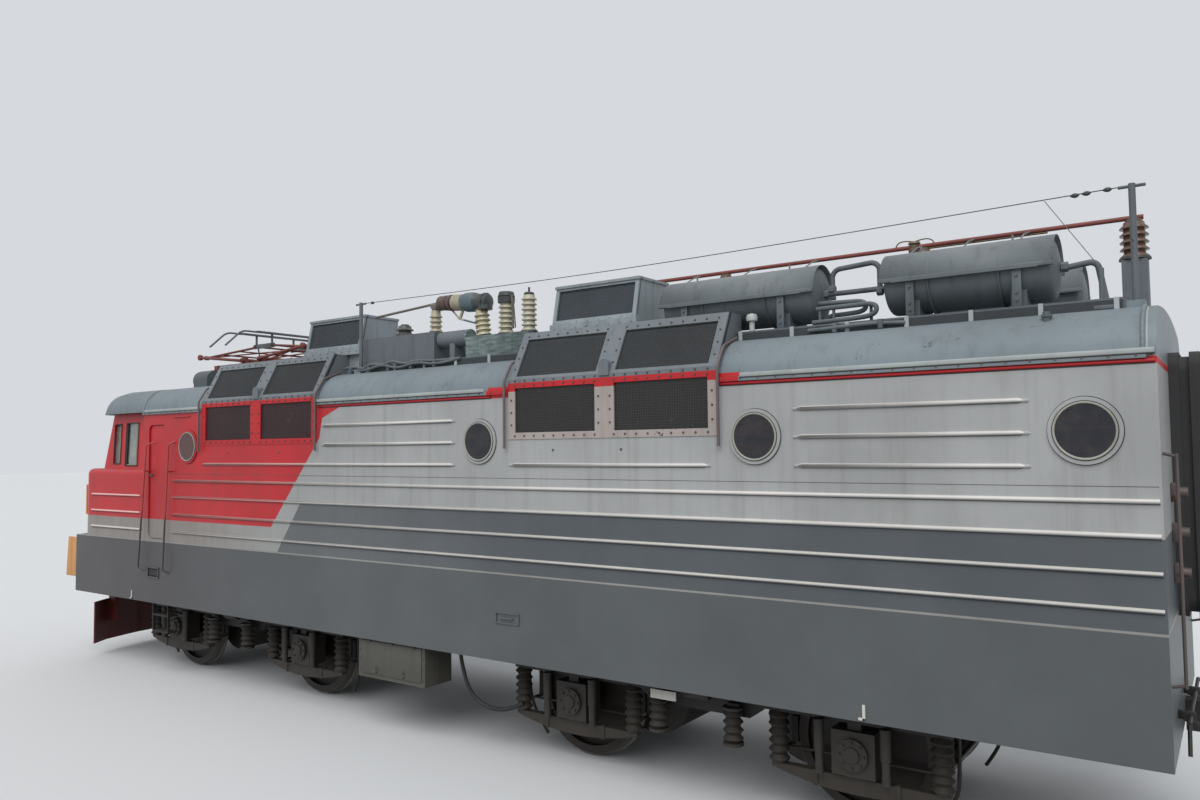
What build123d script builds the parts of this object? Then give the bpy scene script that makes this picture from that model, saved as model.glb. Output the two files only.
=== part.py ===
"""One single-cab section of a heavy freight electric locomotive on two two-axle bogies.

X runs forward to the cab, Y to the left side and Z up. The origin is at mid length on the
centre line, at the lowest point of the wheel flanges. All sizes are in millimetres.
"""
from build123d import *
import math
import os

os.makedirs("parts", exist_ok=True)

# Body shell
BODY_LENGTH = 15200
BODY_WIDTH = 3160
WALL = 60
SKIRT_BOTTOM = 1060
FLOOR_TOP = 1970
FLOOR_PLATE = 50
WALL_TOP = 3860
SHOULDER_HALF = 1200
SHOULDER_TOP = 4262
ROOF_CROWN = 4330
PANEL_GAP = 4
RIB_HEIGHT = 34
RIB_PROUD = 12

# Cab
CAB_REAR = 5560
NOSE_FRONT = 7480
NOSE_CORNER = 260
NOSE_BOW = 40
NOSE_TOP = 3040
NOSE_EDGE = 90
CAB_SIDE_INSET = 95
SILL_FRONT = 7080
HEAD_FRONT = 6840
SILL_CORNER = 150
DASH_DEPTH = 220
CAB_HEAD = 3900
GLASS = 12

# Running gear
WHEEL_RADIUS = 625
FLANGE = 30
WHEEL_BACK = 720
WHEEL_WIDTH = 140
PIVOT_SPACING = 7500
WHEELBASE = 3000
AXLE_RADIUS = 105
JOURNAL_RADIUS = 90
JOURNAL_END = 1170
AXLE_HEIGHT = WHEEL_RADIUS + FLANGE
COUPLER_HEIGHT = 1090
COUPLER_REACH = 610

# Pantograph
PANTO_X = 4350
PANTO_BASE = 4700
PANTO_HALF = 220
PANTO_ARM = 1110
PANTO_FOLD = 6
LOWER_HALF = 600
UPPER_HALF = 500
HEAD_HALF = 300
HORN_HALF = 1130
ARM_TUBE = 22
SHAFT_TUBE = 34

HALF_LENGTH = BODY_LENGTH / 2
HALF_WIDTH = BODY_WIDTH / 2
INNER_HALF = HALF_WIDTH - WALL
AXLE_X = [PIVOT_SPACING / 2 + WHEELBASE / 2, PIVOT_SPACING / 2 - WHEELBASE / 2]
AXLE_X += [-x for x in reversed(AXLE_X)]


def block(x0, x1, y0, y1, z0, z1, mode=Mode.ADD):
    """A plain block between two corners."""
    with Locations(((x0 + x1) / 2, (y0 + y1) / 2, (z0 + z1) / 2)):
        Box(abs(x1 - x0), abs(y1 - y0), abs(z1 - z0), mode=mode)


def rod(start, end, radius, mode=Mode.ADD):
    """A round bar from one point to another."""
    axis = Vector(*end) - Vector(*start)
    with BuildSketch(Plane(origin=start, z_dir=axis)) as section:
        Circle(radius)
    extrude(section.sketch, amount=axis.length, mode=mode)


def pipe(points, radius, bend):
    """A bent pipe along straight runs joined by tangent arcs."""
    first = Vector(*points[1]) - Vector(*points[0])
    with BuildLine() as route:
        FilletPolyline(*points, radius=bend)
    with BuildSketch(Plane(origin=points[0], z_dir=first)) as section:
        Circle(radius)
    sweep(section.sketch, path=route.wires()[0])


def finish(piece, name):
    """Label a finished piece and write it out under the same name."""
    piece.part.label = name
    export_step(piece.part, f"parts/{name}.step")


# Side walls. Horizontal stiffening ribs: height, front end and rear end of each run.
REAR_END = -(HALF_LENGTH - WALL)
RIBS = [
    (2126, 4750, REAR_END),
    (2378, 4750, REAR_END),
    (2632, 4750, REAR_END),
    (2870, 4750, REAR_END),
    (3112, 3980, -971),
    (3112, -1769, -4149),
    (3112, -4946, -6783),
    (3356, 1323, -973),
    (3356, -4946, -6783),
    (3596, 1323, -973),
    (3596, -4946, -6783),
]
PORTHOLE_X = [4334, -1337, -4587, -7147]
PORTHOLE_Z = 3366
PORTHOLE_GLASS = 196
PORTHOLE_RING = 242
PORTHOLE_LIP = 12
# Air intake groups: front end, rear end and centre pillar of each.
INTAKES = [(3982, 1439, 2711), (-1757, -4220, -2988)]
INTAKE_SILL = 3380
INTAKE_HEAD = 3970
DOOR_FRONT = 5400
DOOR_REAR = 4930
DOOR_SILL = 2005
DOOR_HEAD = 3700
DOOR_CORNER = 90
DOOR_GAP = 8
STEP_FRONT = 5360
STEP_REAR = 5090
STEP_SILL = 1450
STEP_HEAD = 1565
STEP_DEPTH = 45


def rib(x0, x1, z, side):
    """A half-round stiffening rib standing on the outer face of a wall."""
    start = (x1, side * HALF_WIDTH, z)
    with BuildSketch(Plane(origin=start, x_dir=(0, side, 0), z_dir=(1, 0, 0))) as profile:
        with BuildLine():
            Line((0, -RIB_HEIGHT / 2), (0, RIB_HEIGHT / 2))
            ThreePointArc((0, RIB_HEIGHT / 2), (RIB_PROUD, 0), (0, -RIB_HEIGHT / 2))
        make_face()
    extrude(profile.sketch, amount=x0 - x1)


with BuildPart() as side_wall_left:
    with BuildSketch(Plane.XZ.offset(-HALF_WIDTH)):
        with BuildLine():
            Polyline(
                (REAR_END, SKIRT_BOTTOM),
                (HALF_LENGTH, SKIRT_BOTTOM),
                (HALF_LENGTH, FLOOR_TOP),
                (CAB_REAR, FLOOR_TOP),
                (CAB_REAR, WALL_TOP),
                (REAR_END, WALL_TOP),
                close=True,
            )
        make_face()
        for x in PORTHOLE_X:
            with Locations((x, PORTHOLE_Z)):
                Circle(PORTHOLE_GLASS, mode=Mode.SUBTRACT)
        for front, rear, _ in INTAKES:
            with Locations(((front + rear) / 2, (INTAKE_SILL + WALL_TOP) / 2)):
                Rectangle(front - rear, WALL_TOP - INTAKE_SILL, mode=Mode.SUBTRACT)
        with Locations(((DOOR_FRONT + DOOR_REAR) / 2, (DOOR_SILL + DOOR_HEAD) / 2)):
            RectangleRounded(DOOR_FRONT - DOOR_REAR, DOOR_HEAD - DOOR_SILL, DOOR_CORNER, mode=Mode.SUBTRACT)
    extrude(amount=WALL)
    block(STEP_REAR, STEP_FRONT, HALF_WIDTH - STEP_DEPTH, HALF_WIDTH, STEP_SILL, STEP_HEAD, mode=Mode.SUBTRACT)
    for z, front, rear in RIBS:
        rib(front, rear, z, 1)
finish(side_wall_left, "side_wall_left")

with BuildPart() as side_wall_right:
    add(mirror(side_wall_left.part, about=Plane.XZ))
finish(side_wall_right, "side_wall_right")


# Lower intake grilles, let into the walls. Each bay is a recessed screen in a flat frame.
GRILLE_FRAME = 89
GRILLE_BAY_BOTTOM = 3450
GRILLE_BAY_TOP = 3915
GRILLE_RECESS = 25
GRILLE_PROUD = 8
PILLAR_HALF = 114
with BuildPart() as side_grilles:
    for front, rear, pillar in INTAKES:
        block(rear, front, HALF_WIDTH - WALL, HALF_WIDTH + GRILLE_PROUD, INTAKE_SILL, INTAKE_HEAD)
        for x0, x1 in ((rear + GRILLE_FRAME, pillar - PILLAR_HALF), (pillar + PILLAR_HALF, front - GRILLE_FRAME)):
            outer = HALF_WIDTH + GRILLE_PROUD
            block(x0, x1, outer - GRILLE_RECESS, outer, GRILLE_BAY_BOTTOM, GRILLE_BAY_TOP, mode=Mode.SUBTRACT)
    mirror(about=Plane.XZ)
finish(side_grilles, "side_grilles")


# Roof shell: shoulder arcs join the walls to a gently crowned top.
ROOF_WALL = 50
PAD_TOP = 4345
GUTTER_PROUD = 28
GUTTER_HEIGHT = 40


def roof_outline(half, top, drop):
    """Closed roof outline in the Y, Z plane, shrunk inwards by a wall drop."""
    low = WALL_TOP
    shoulder = (SHOULDER_HALF - drop / 2, SHOULDER_TOP - drop)
    reach_y = half - shoulder[0]
    reach_z = shoulder[1] - low
    middle = (shoulder[0] + reach_y * math.cos(math.pi / 4), low + reach_z * math.sin(math.pi / 4))
    with BuildLine() as outline:
        Line((-half, low), (half, low))
        ThreePointArc((half, low), middle, shoulder)
        ThreePointArc(shoulder, (0, top), (-shoulder[0], shoulder[1]))
        ThreePointArc((-shoulder[0], shoulder[1]), (-middle[0], middle[1]), (-half, low))
    make_face(outline.edges())


def roof_shell(x0, x1):
    """One removable roof section with a gutter along each wall."""
    with BuildSketch(Plane.YZ.offset(x0)) as outer:
        roof_outline(HALF_WIDTH, ROOF_CROWN, 0)
    extrude(outer.sketch, amount=x1 - x0)
    with BuildSketch(Plane.YZ.offset(x0)) as inner:
        roof_outline(HALF_WIDTH - ROOF_WALL, ROOF_CROWN - ROOF_WALL, ROOF_WALL)
    extrude(inner.sketch, amount=x1 - x0, mode=Mode.SUBTRACT)
    for side in (1, -1):
        y0 = side * (HALF_WIDTH - ROOF_WALL / 2)
        y1 = side * (HALF_WIDTH + GUTTER_PROUD)
        block(x0, x1, y0, y1, WALL_TOP, WALL_TOP + GUTTER_HEIGHT)


ROOF_SECTIONS = [
    (CAB_REAR - PANEL_GAP, INTAKES[0][0] + PANEL_GAP),
    (INTAKES[0][1] - PANEL_GAP, INTAKES[1][0] + PANEL_GAP),
    (INTAKES[1][1] - PANEL_GAP, REAR_END),
]
# Flat pads that carry the roof equipment: rear end, front end, right edge, left edge and top.
ROOF_PADS = [
    (5090, 5310, -660, -440, PAD_TOP),
    (5090, 5310, 440, 660, PAD_TOP),
    (-140, 1430, 560, 1100, PAD_TOP),
    (-1640, -160, 540, 1100, PAD_TOP),
    (-5850, -5650, 340, 500, PAD_TOP),
    (-4720, -4520, 560, 1000, PAD_TOP),
    (-6740, -6540, 560, 1000, PAD_TOP),
    (-5900, -5700, 560, 1000, PAD_TOP),
    (-6740, -6540, -1000, -560, PAD_TOP),
    (-5900, -5700, -1000, -560, PAD_TOP),
    (-7520, -7300, 300, 560, PAD_TOP),
    (-7520, -7400, 1040, 1180, 4320),
    (1010, 1130, 1120, 1240, 4300),
]
with BuildPart() as roof_panels:
    for front, rear in ROOF_SECTIONS:
        roof_shell(rear, front)
    for rear, front, right, left, top in ROOF_PADS:
        block(rear, front, right, left, SHOULDER_TOP - 60, top)
finish(roof_panels, "roof_panels")


# Raised intake housings on the roof: leaning mesh sides under a flat top plate.
HOUSING_TOP = 4530
HOUSING_TOP_HALF = 1310
HOUSING_DECK_HALF = 1060
HOUSING_WALL = 60
HOUSING_KERB = 40
HOOD_HALF = 60
HOOD_PROUD = 16
HOOD_BOTTOM = 3990
HOOD_ROUND = 4090
MESH_BOTTOM = 4040
MESH_TOP = 4450
MESH_RECESS = 25


def housing_section(shrink):
    """Cross-section of an intake housing, less a wall."""
    half = HALF_WIDTH - shrink
    low = INTAKE_HEAD
    with BuildLine() as outline:
        Polyline(
            (-half, low),
            (half, low),
            (half, low + HOUSING_KERB),
            (HOUSING_TOP_HALF - shrink, HOUSING_TOP - shrink),
            (HOUSING_DECK_HALF + shrink, HOUSING_TOP - shrink),
            (HOUSING_DECK_HALF + shrink, PAD_TOP - shrink),
            (-HOUSING_DECK_HALF - shrink, PAD_TOP - shrink),
            (-HOUSING_DECK_HALF - shrink, HOUSING_TOP - shrink),
            (-HOUSING_TOP_HALF + shrink, HOUSING_TOP - shrink),
            (-half, low + HOUSING_KERB),
            close=True,
        )
    make_face(outline.edges())


with BuildPart() as louvre_housings:
    for front, rear, pillar in INTAKES:
        with BuildSketch(Plane.YZ.offset(rear)):
            housing_section(0)
        extrude(amount=front - rear)
        with BuildSketch(Plane.YZ.offset(rear + HOUSING_WALL)):
            housing_section(HOUSING_WALL)
        extrude(amount=front - rear - 2 * HOUSING_WALL, mode=Mode.SUBTRACT)
        lean = math.atan2(HALF_WIDTH - HOUSING_TOP_HALF, HOUSING_TOP - INTAKE_HEAD - HOUSING_KERB)
        for x0, x1 in ((rear + GRILLE_FRAME, pillar - PILLAR_HALF), (pillar + PILLAR_HALF, front - GRILLE_FRAME)):
            for side in (1, -1):
                rise = (MESH_BOTTOM + MESH_TOP) / 2 - INTAKE_HEAD - HOUSING_KERB
                centre = (
                    (x0 + x1) / 2,
                    side * (HALF_WIDTH - rise * math.tan(lean)),
                    INTAKE_HEAD + HOUSING_KERB + rise,
                )
                face = Plane(origin=centre, x_dir=(1, 0, 0), z_dir=(0, side * math.cos(lean), math.sin(lean)))
                with BuildSketch(face):
                    Rectangle(x1 - x0, (MESH_TOP - MESH_BOTTOM) / math.cos(lean))
                extrude(amount=-MESH_RECESS, mode=Mode.SUBTRACT)
        for side in (1, -1):
            with BuildSketch(Plane.XZ.offset(-side * (HALF_WIDTH + HOOD_PROUD))):
                with Locations((pillar, (HOOD_BOTTOM + HOOD_ROUND) / 2)):
                    Rectangle(2 * HOOD_HALF, HOOD_ROUND - HOOD_BOTTOM)
                with Locations((pillar, HOOD_ROUND)):
                    Circle(HOOD_HALF)
            extrude(amount=side * (HOOD_PROUD + 2 * HOUSING_KERB))
finish(louvre_housings, "louvre_housings")


# Cab nose below the window sill: a rounded plan with a rounded top edge.
def nose_plan(shrink, front, side_end, corner, half):
    """Rounded plan outline of the cab front, less a wall."""
    y = half - shrink
    nose = front - shrink
    bow = nose - NOSE_BOW
    with BuildLine() as outline:
        Line((CAB_REAR, -y), (CAB_REAR, y))
        Line((CAB_REAR, y), (side_end, y))
        turn = corner * (1 - math.cos(math.pi / 4))
        shoulder = (bow, y - corner)
        middle = (bow - turn, y - turn)
        ThreePointArc((side_end, y), middle, shoulder)
        ThreePointArc(shoulder, (nose, 0), (shoulder[0], -shoulder[1]))
        ThreePointArc((shoulder[0], -shoulder[1]), (middle[0], -middle[1]), (side_end, -y))
        Line((side_end, -y), (CAB_REAR, -y))
    make_face(outline.edges())


# Ribs on the cab sides below the window sill, as height alone.
CAB_RIBS = [2126, 2378, 2632]
CAB_RIB_FRONT = 7100
NOSE_SIDE = NOSE_FRONT - NOSE_BOW - NOSE_CORNER
with BuildPart() as cab_nose:
    with BuildSketch(Plane.XY.offset(FLOOR_TOP)):
        nose_plan(0, NOSE_FRONT, NOSE_SIDE, NOSE_CORNER, HALF_WIDTH)
    extrude(amount=NOSE_TOP - FLOOR_TOP)
    top = cab_nose.faces().sort_by(Axis.Z)[-1]
    rim = top.edges().filter_by(lambda edge: edge.center().X > CAB_REAR + 1)
    fillet(rim, radius=NOSE_EDGE)
    with BuildSketch(Plane.XY.offset(FLOOR_TOP)):
        nose_plan(WALL, NOSE_FRONT, NOSE_SIDE, NOSE_CORNER - WALL / 2, HALF_WIDTH)
    extrude(amount=NOSE_TOP - FLOOR_TOP - WALL, mode=Mode.SUBTRACT)
    block(CAB_REAR, SILL_FRONT - DASH_DEPTH, -INNER_HALF + CAB_SIDE_INSET, INNER_HALF - CAB_SIDE_INSET,
          NOSE_TOP - WALL, NOSE_TOP, mode=Mode.SUBTRACT)
    for z in CAB_RIBS:
        for side in (1, -1):
            rib(CAB_RIB_FRONT, CAB_REAR + 20, z, side)
finish(cab_nose, "cab_nose")


# Upper cab: leaning walls with the windscreens and side windows cut through.
UPPER_SILL_HALF = HALF_WIDTH - CAB_SIDE_INSET
UPPER_LEAN = 30
UPPER_HEAD_HALF = UPPER_SILL_HALF - UPPER_LEAN
WINDOW_CORNER = 30
SCREEN_CORNER = 70
SCREEN_SILL = 3090
SCREEN_HEAD = 3790
SCREEN_INNER = 90
SCREEN_OUTER = 1200
PANE_INSET = 24
SCREEN_CUT = 600
# Side windows: rear end, front end, sill and head of each opening.
SIDE_WINDOWS = [(5915, 6280, 3085, 3750), (6430, 6640, 3115, 3740)]


def cab_shell(shrink):
    """Solid upper cab form, less a wall."""
    with BuildPart() as shell:
        corner = SILL_CORNER - shrink / 2
        with BuildSketch(Plane.XY.offset(NOSE_TOP)):
            nose_plan(shrink, SILL_FRONT, SILL_FRONT - NOSE_BOW - SILL_CORNER, corner, UPPER_SILL_HALF)
        with BuildSketch(Plane.XY.offset(CAB_HEAD)):
            nose_plan(shrink, HEAD_FRONT, HEAD_FRONT - NOSE_BOW - SILL_CORNER, corner, UPPER_HEAD_HALF)
        loft(ruled=True)
    return shell.part


cab_outer = cab_shell(0)
cab_inner = cab_shell(WALL)
pane_outer = cab_shell(PANE_INSET)
pane_inner = cab_shell(PANE_INSET + GLASS)
with BuildPart() as side_openings:
    for rear, front, sill, head in SIDE_WINDOWS:
        with BuildSketch(Plane.XZ.offset(-HALF_WIDTH)):
            with Locations(((rear + front) / 2, (sill + head) / 2)):
                RectangleRounded(front - rear, head - sill, WINDOW_CORNER)
        extrude(amount=BODY_WIDTH)
with BuildPart() as screen_openings:
    with BuildSketch(Plane.YZ.offset(HEAD_FRONT - SCREEN_CUT / 2)):
        for side in (1, -1):
            with Locations((side * (SCREEN_INNER + SCREEN_OUTER) / 2, (SCREEN_SILL + SCREEN_HEAD) / 2)):
                RectangleRounded(SCREEN_OUTER - SCREEN_INNER, SCREEN_HEAD - SCREEN_SILL, SCREEN_CORNER)
    extrude(amount=SCREEN_CUT)

with BuildPart() as cab_upper:
    add(cab_outer)
    add(cab_inner, mode=Mode.SUBTRACT)
    add(side_openings.part, mode=Mode.SUBTRACT)
    add(screen_openings.part, mode=Mode.SUBTRACT)
finish(cab_upper, "cab_upper")
with BuildPart() as pane_openings:
    add(side_openings.part)
    add(screen_openings.part)
with BuildPart() as cab_windows:
    add(pane_outer)
    add(pane_inner, mode=Mode.SUBTRACT)
    add(pane_openings.part, mode=Mode.INTERSECT)
finish(cab_windows, "cab_windows")


# Cab roof: the roof section runs forward and rounds down over the windscreens.
# Sections of the dome, from the bulkhead forward: place, half width at the gutter and crown height.
DOME_SECTIONS = [
    (CAB_REAR, HALF_WIDTH, ROOF_CROWN),
    (6480, HALF_WIDTH, ROOF_CROWN),
    (6760, 1560, 4300),
    (6930, 1490, 4205),
    (7020, 1380, 4060),
]
DOME_SHOULDER_IN = 380
DOME_SHOULDER_DROP = 68
LAMP_REAR = 6200
LAMP_FRONT = 6600
LAMP_HALF = 170
LAMP_TOP = 4685
LAMP_FOOT = 20


def dome_section(half, crown, low):
    """Closed section of the cab roof: a flat foot, two shoulder arcs and a crowned top."""
    shoulder = (half - DOME_SHOULDER_IN, crown - DOME_SHOULDER_DROP)
    reach_z = shoulder[1] - low
    middle = (shoulder[0] + DOME_SHOULDER_IN * math.cos(math.pi / 4), low + reach_z * math.sin(math.pi / 4))
    with BuildLine() as outline:
        Line((-half, low), (half, low))
        ThreePointArc((half, low), middle, shoulder)
        ThreePointArc(shoulder, (0, crown), (-shoulder[0], shoulder[1]))
        ThreePointArc((-shoulder[0], shoulder[1]), (-middle[0], middle[1]), (-half, low))
    make_face(outline.edges())


def cab_dome(shrink):
    """Solid cab roof form lofted through its sections, less a wall."""
    with BuildPart() as dome:
        for x, half, crown in DOME_SECTIONS:
            reach = x - shrink if x > CAB_REAR else x - shrink / 2
            with BuildSketch(Plane.YZ.offset(reach)):
                dome_section(half - shrink, crown - shrink, CAB_HEAD - shrink / 2)
        loft(ruled=True)
    return dome.part


outer_dome = cab_dome(0)
inner_dome = cab_dome(ROOF_WALL)
with BuildPart() as cab_roof:
    add(outer_dome)
    add(inner_dome, mode=Mode.SUBTRACT)
finish(cab_roof, "cab_roof")


# Rear end wall with the gangway opening.
GANGWAY_HALF = 340
GANGWAY_HEAD = 3900
GANGWAY_CORNER = 120
with BuildPart() as rear_wall:
    with BuildSketch(Plane.YZ.offset(-HALF_LENGTH)):
        with Locations((0, (SKIRT_BOTTOM + WALL_TOP) / 2)):
            Rectangle(BODY_WIDTH, WALL_TOP - SKIRT_BOTTOM)
        roof_outline(HALF_WIDTH, ROOF_CROWN, 0)
        with Locations((0, (DOOR_SILL + GANGWAY_HEAD) / 2)):
            RectangleRounded(2 * GANGWAY_HALF, GANGWAY_HEAD - DOOR_SILL, GANGWAY_CORNER, mode=Mode.SUBTRACT)
    extrude(amount=WALL)
finish(rear_wall, "rear_wall")

# Gangway bellows: an open rubber tunnel of alternating folds round the rear door.
FOLDS = 5
FOLD_PITCH = 70
BELLOWS_WALL = 90
FOLD_DEPTH = 35
BELLOWS_CLEAR = 20
with BuildPart() as gangway_bellows:
    for fold in range(FOLDS):
        high = BELLOWS_WALL if fold % 2 == 0 else BELLOWS_WALL - FOLD_DEPTH
        with BuildSketch(Plane.YZ.offset(-HALF_LENGTH - FOLD_PITCH * (fold + 1))):
            with Locations((0, (DOOR_SILL + GANGWAY_HEAD) / 2)):
                RectangleRounded(2 * (GANGWAY_HALF + high), GANGWAY_HEAD - DOOR_SILL + 2 * high, GANGWAY_CORNER)
                RectangleRounded(
                    2 * (GANGWAY_HALF + BELLOWS_CLEAR), GANGWAY_HEAD - DOOR_SILL + 2 * BELLOWS_CLEAR,
                    GANGWAY_CORNER, mode=Mode.SUBTRACT)
        extrude(amount=FOLD_PITCH)
finish(gangway_bellows, "gangway_bellows")


# Underframe: a floor plate on cross-bearers, which run between deep side sills and end beams.
SILL_INNER = 1400
SILL_BOTTOM = 1100
BEARER_BOTTOM = 1520
BEARER_WIDTH = 160
BEAM_DEPTH = 120
KINGPIN_RADIUS = 140
KINGPIN_BOTTOM = 900
BEARER_X = [-7000, -5250, -3750, -2250, -750, 750, 2250, 3750, 5250, 6900]
JACK_X = 6000
JACK_HALF_LENGTH = 160
JACK_DEPTH = 50
JACK_MARGIN = 10
FLOOR_UNDERSIDE = FLOOR_TOP - FLOOR_PLATE
FRAME_REAR = REAR_END + BEAM_DEPTH
FRAME_FRONT = HALF_LENGTH - BEAM_DEPTH
with BuildPart() as underframe:
    block(REAR_END, FRAME_FRONT, -INNER_HALF, INNER_HALF, FLOOR_UNDERSIDE, FLOOR_TOP)
finish(underframe, "underframe")

with BuildPart() as main_frame:
    for side in (1, -1):
        block(FRAME_REAR, FRAME_FRONT, side * SILL_INNER, side * INNER_HALF, SILL_BOTTOM, FLOOR_UNDERSIDE)
        for end in (1, -1):
            x = end * JACK_X
            block(x - JACK_HALF_LENGTH, x + JACK_HALF_LENGTH, side * (SILL_INNER + JACK_MARGIN),
                  side * (INNER_HALF - JACK_MARGIN), SILL_BOTTOM - JACK_DEPTH, SILL_BOTTOM)
    block(FRAME_FRONT, HALF_LENGTH, -INNER_HALF, INNER_HALF, SKIRT_BOTTOM, FLOOR_TOP)
    block(REAR_END, FRAME_REAR, -INNER_HALF, INNER_HALF, SKIRT_BOTTOM, FLOOR_UNDERSIDE)
finish(main_frame, "main_frame")

with BuildPart() as cross_bearers:
    for x in BEARER_X:
        block(x - BEARER_WIDTH / 2, x + BEARER_WIDTH / 2, -SILL_INNER, SILL_INNER, BEARER_BOTTOM, FLOOR_UNDERSIDE)
    for side in (1, -1):
        x = side * PIVOT_SPACING / 2
        rod((x, 0, KINGPIN_BOTTOM), (x, 0, BEARER_BOTTOM), KINGPIN_RADIUS)
finish(cross_bearers, "cross_bearers")


# Automatic couplers: shank, hooked head with a large and a small tooth.
HEAD_LENGTH = 400
HEAD_HALF_HEIGHT = 150
SHANK_HALF = 75


def coupler_head(end):
    """Plan of the coupler head at one end of the body; end is 1 or -1."""
    root = HALF_LENGTH + COUPLER_REACH - HEAD_LENGTH
    tip = HALF_LENGTH + COUPLER_REACH
    with BuildSketch(Plane.XY.offset(COUPLER_HEIGHT - HEAD_HALF_HEIGHT)) as plan:
        with BuildLine():
            Polyline(
                (end * root, -end * 90),
                (end * (root + 120), -end * 200),
                (end * tip, -end * 230),
                (end * tip, -end * 110),
                (end * (tip - 190), -end * 60),
                (end * (tip - 190), end * 60),
                (end * (tip - 90), end * 110),
                (end * (tip - 60), end * 210),
                (end * (root + 130), end * 190),
                (end * root, end * 90),
                close=True,
            )
        make_face()
    extrude(plan.sketch, amount=2 * HEAD_HALF_HEIGHT)
    block(end * HALF_LENGTH, end * (root + 20), -SHANK_HALF, SHANK_HALF,
          COUPLER_HEIGHT - SHANK_HALF * 1.6, COUPLER_HEIGHT + SHANK_HALF * 1.6)


with BuildPart() as couplers:
    coupler_head(1)
    coupler_head(-1)
finish(couplers, "couplers")


# Pilot plough below the front buffer beam.
PILOT_BOTTOM = 190
PILOT_TOP = 860
PILOT_SHEET = 20
PILOT_HANGER = 60
with BuildPart() as pilot:
    with BuildSketch(Plane.XY.offset(PILOT_BOTTOM)):
        with BuildLine():
            Polyline((7350, 1400), (7560, 1100), (7740, 500), (7800, 0), (7740, -500), (7560, -1100), (7350, -1400))
            offset(amount=PILOT_SHEET, side=Side.RIGHT)
        make_face()
    extrude(amount=PILOT_TOP - PILOT_BOTTOM)
    for side in (1, -1):
        block(7350, 7560, side * 1000, side * (1000 + PILOT_HANGER), 500, SKIRT_BOTTOM)
finish(pilot, "pilot")


# Equipment boxes hung below the sills at mid length, and the transformer inside the body.
BOX_FRONT = 684
BOX_REAR = -438
BOX_BOTTOM = 600
BOX_DEPTH = 420
with BuildPart() as equipment_boxes:
    for side in (1, -1):
        block(BOX_REAR, BOX_FRONT, side * (INNER_HALF - BOX_DEPTH), side * INNER_HALF, BOX_BOTTOM, SILL_BOTTOM)
finish(equipment_boxes, "equipment_boxes")

TRANSFORMER_HALF_LENGTH = 1400
TRANSFORMER_HALF_WIDTH = 950
TRANSFORMER_HEIGHT = 1500
with BuildPart() as transformer:
    block(-TRANSFORMER_HALF_LENGTH, TRANSFORMER_HALF_LENGTH, -TRANSFORMER_HALF_WIDTH, TRANSFORMER_HALF_WIDTH,
          FLOOR_TOP, FLOOR_TOP + TRANSFORMER_HEIGHT)
finish(transformer, "transformer")


# Cab interior: bulkhead with doorway, desk and two seats.
BULKHEAD = 40
BULKHEAD_FRONT = 5540
DESK_FRONT = 6900
DESK_REAR = 6450
DESK_TOP = 2900
SEAT_X = 6050
SEAT_Y = 800
SEAT_HALF = 240
with BuildPart() as cab_interior:
    block(BULKHEAD_FRONT - BULKHEAD, BULKHEAD_FRONT, -INNER_HALF, INNER_HALF, FLOOR_TOP, WALL_TOP)
    block(BULKHEAD_FRONT - BULKHEAD, BULKHEAD_FRONT, -300, 300, FLOOR_TOP, FLOOR_TOP + 1750, mode=Mode.SUBTRACT)
    with BuildSketch(Plane.XZ.offset(-1300)):
        with BuildLine():
            Polyline(
                (DESK_FRONT, FLOOR_TOP),
                (DESK_FRONT, DESK_TOP + 60),
                (DESK_REAR + 180, DESK_TOP),
                (DESK_REAR, DESK_TOP - 60),
                (DESK_REAR, DESK_TOP - 160),
                (DESK_REAR + 200, DESK_TOP - 260),
                (DESK_REAR + 200, FLOOR_TOP),
                close=True,
            )
        make_face()
    extrude(amount=2600)
    for side in (1, -1):
        y = side * SEAT_Y
        rod((SEAT_X, y, FLOOR_TOP), (SEAT_X, y, 2400), 60)
        block(SEAT_X - SEAT_HALF, SEAT_X + SEAT_HALF, y - SEAT_HALF, y + SEAT_HALF, 2400, 2500)
        block(SEAT_X - SEAT_HALF, SEAT_X - SEAT_HALF + 110, y - SEAT_HALF, y + SEAT_HALF, 2500, 3100)
finish(cab_interior, "cab_interior")


# Doors. The side doors hinge at their rear edge and open inwards. Each hinge has one knuckle on the
# wall and one on the door, on a pin line just inside the inner face.
DOOR_THICK = 40
HINGE_RADIUS = 8
HINGE_OFFSET = 12
HINGE_LENGTH = 60
HINGE_PLAY = 1
HINGE_LEAF = 45
LEAF_RELIEF = 6
HINGE_HEIGHTS = [2250, 2850, 3450]
HINGE_X = DOOR_REAR + HINGE_OFFSET
HINGE_Y = INNER_HALF - HINGE_OFFSET
GANGWAY_HINGE_X = REAR_END + HINGE_OFFSET
GANGWAY_HINGE_Y = GANGWAY_HALF - HINGE_OFFSET
with BuildPart() as door_hinges:
    for z in HINGE_HEIGHTS:
        low = z - HINGE_LENGTH
        high = z - HINGE_PLAY
        for side in (1, -1):
            rod((HINGE_X, side * HINGE_Y, low), (HINGE_X, side * HINGE_Y, high), HINGE_RADIUS)
            block(DOOR_REAR - HINGE_LEAF, DOOR_REAR, side * HINGE_Y, side * INNER_HALF, low, high)
            block(DOOR_REAR, HINGE_X, side * HINGE_Y, side * (INNER_HALF - LEAF_RELIEF), low, high)
        rod((GANGWAY_HINGE_X, GANGWAY_HINGE_Y, low), (GANGWAY_HINGE_X, GANGWAY_HINGE_Y, high), HINGE_RADIUS)
        block(REAR_END, GANGWAY_HINGE_X, GANGWAY_HALF, GANGWAY_HALF + HINGE_LEAF, low, high)
        block(REAR_END + LEAF_RELIEF, GANGWAY_HINGE_X, GANGWAY_HINGE_Y, GANGWAY_HALF, low, high)
finish(door_hinges, "door_hinges")
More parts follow.
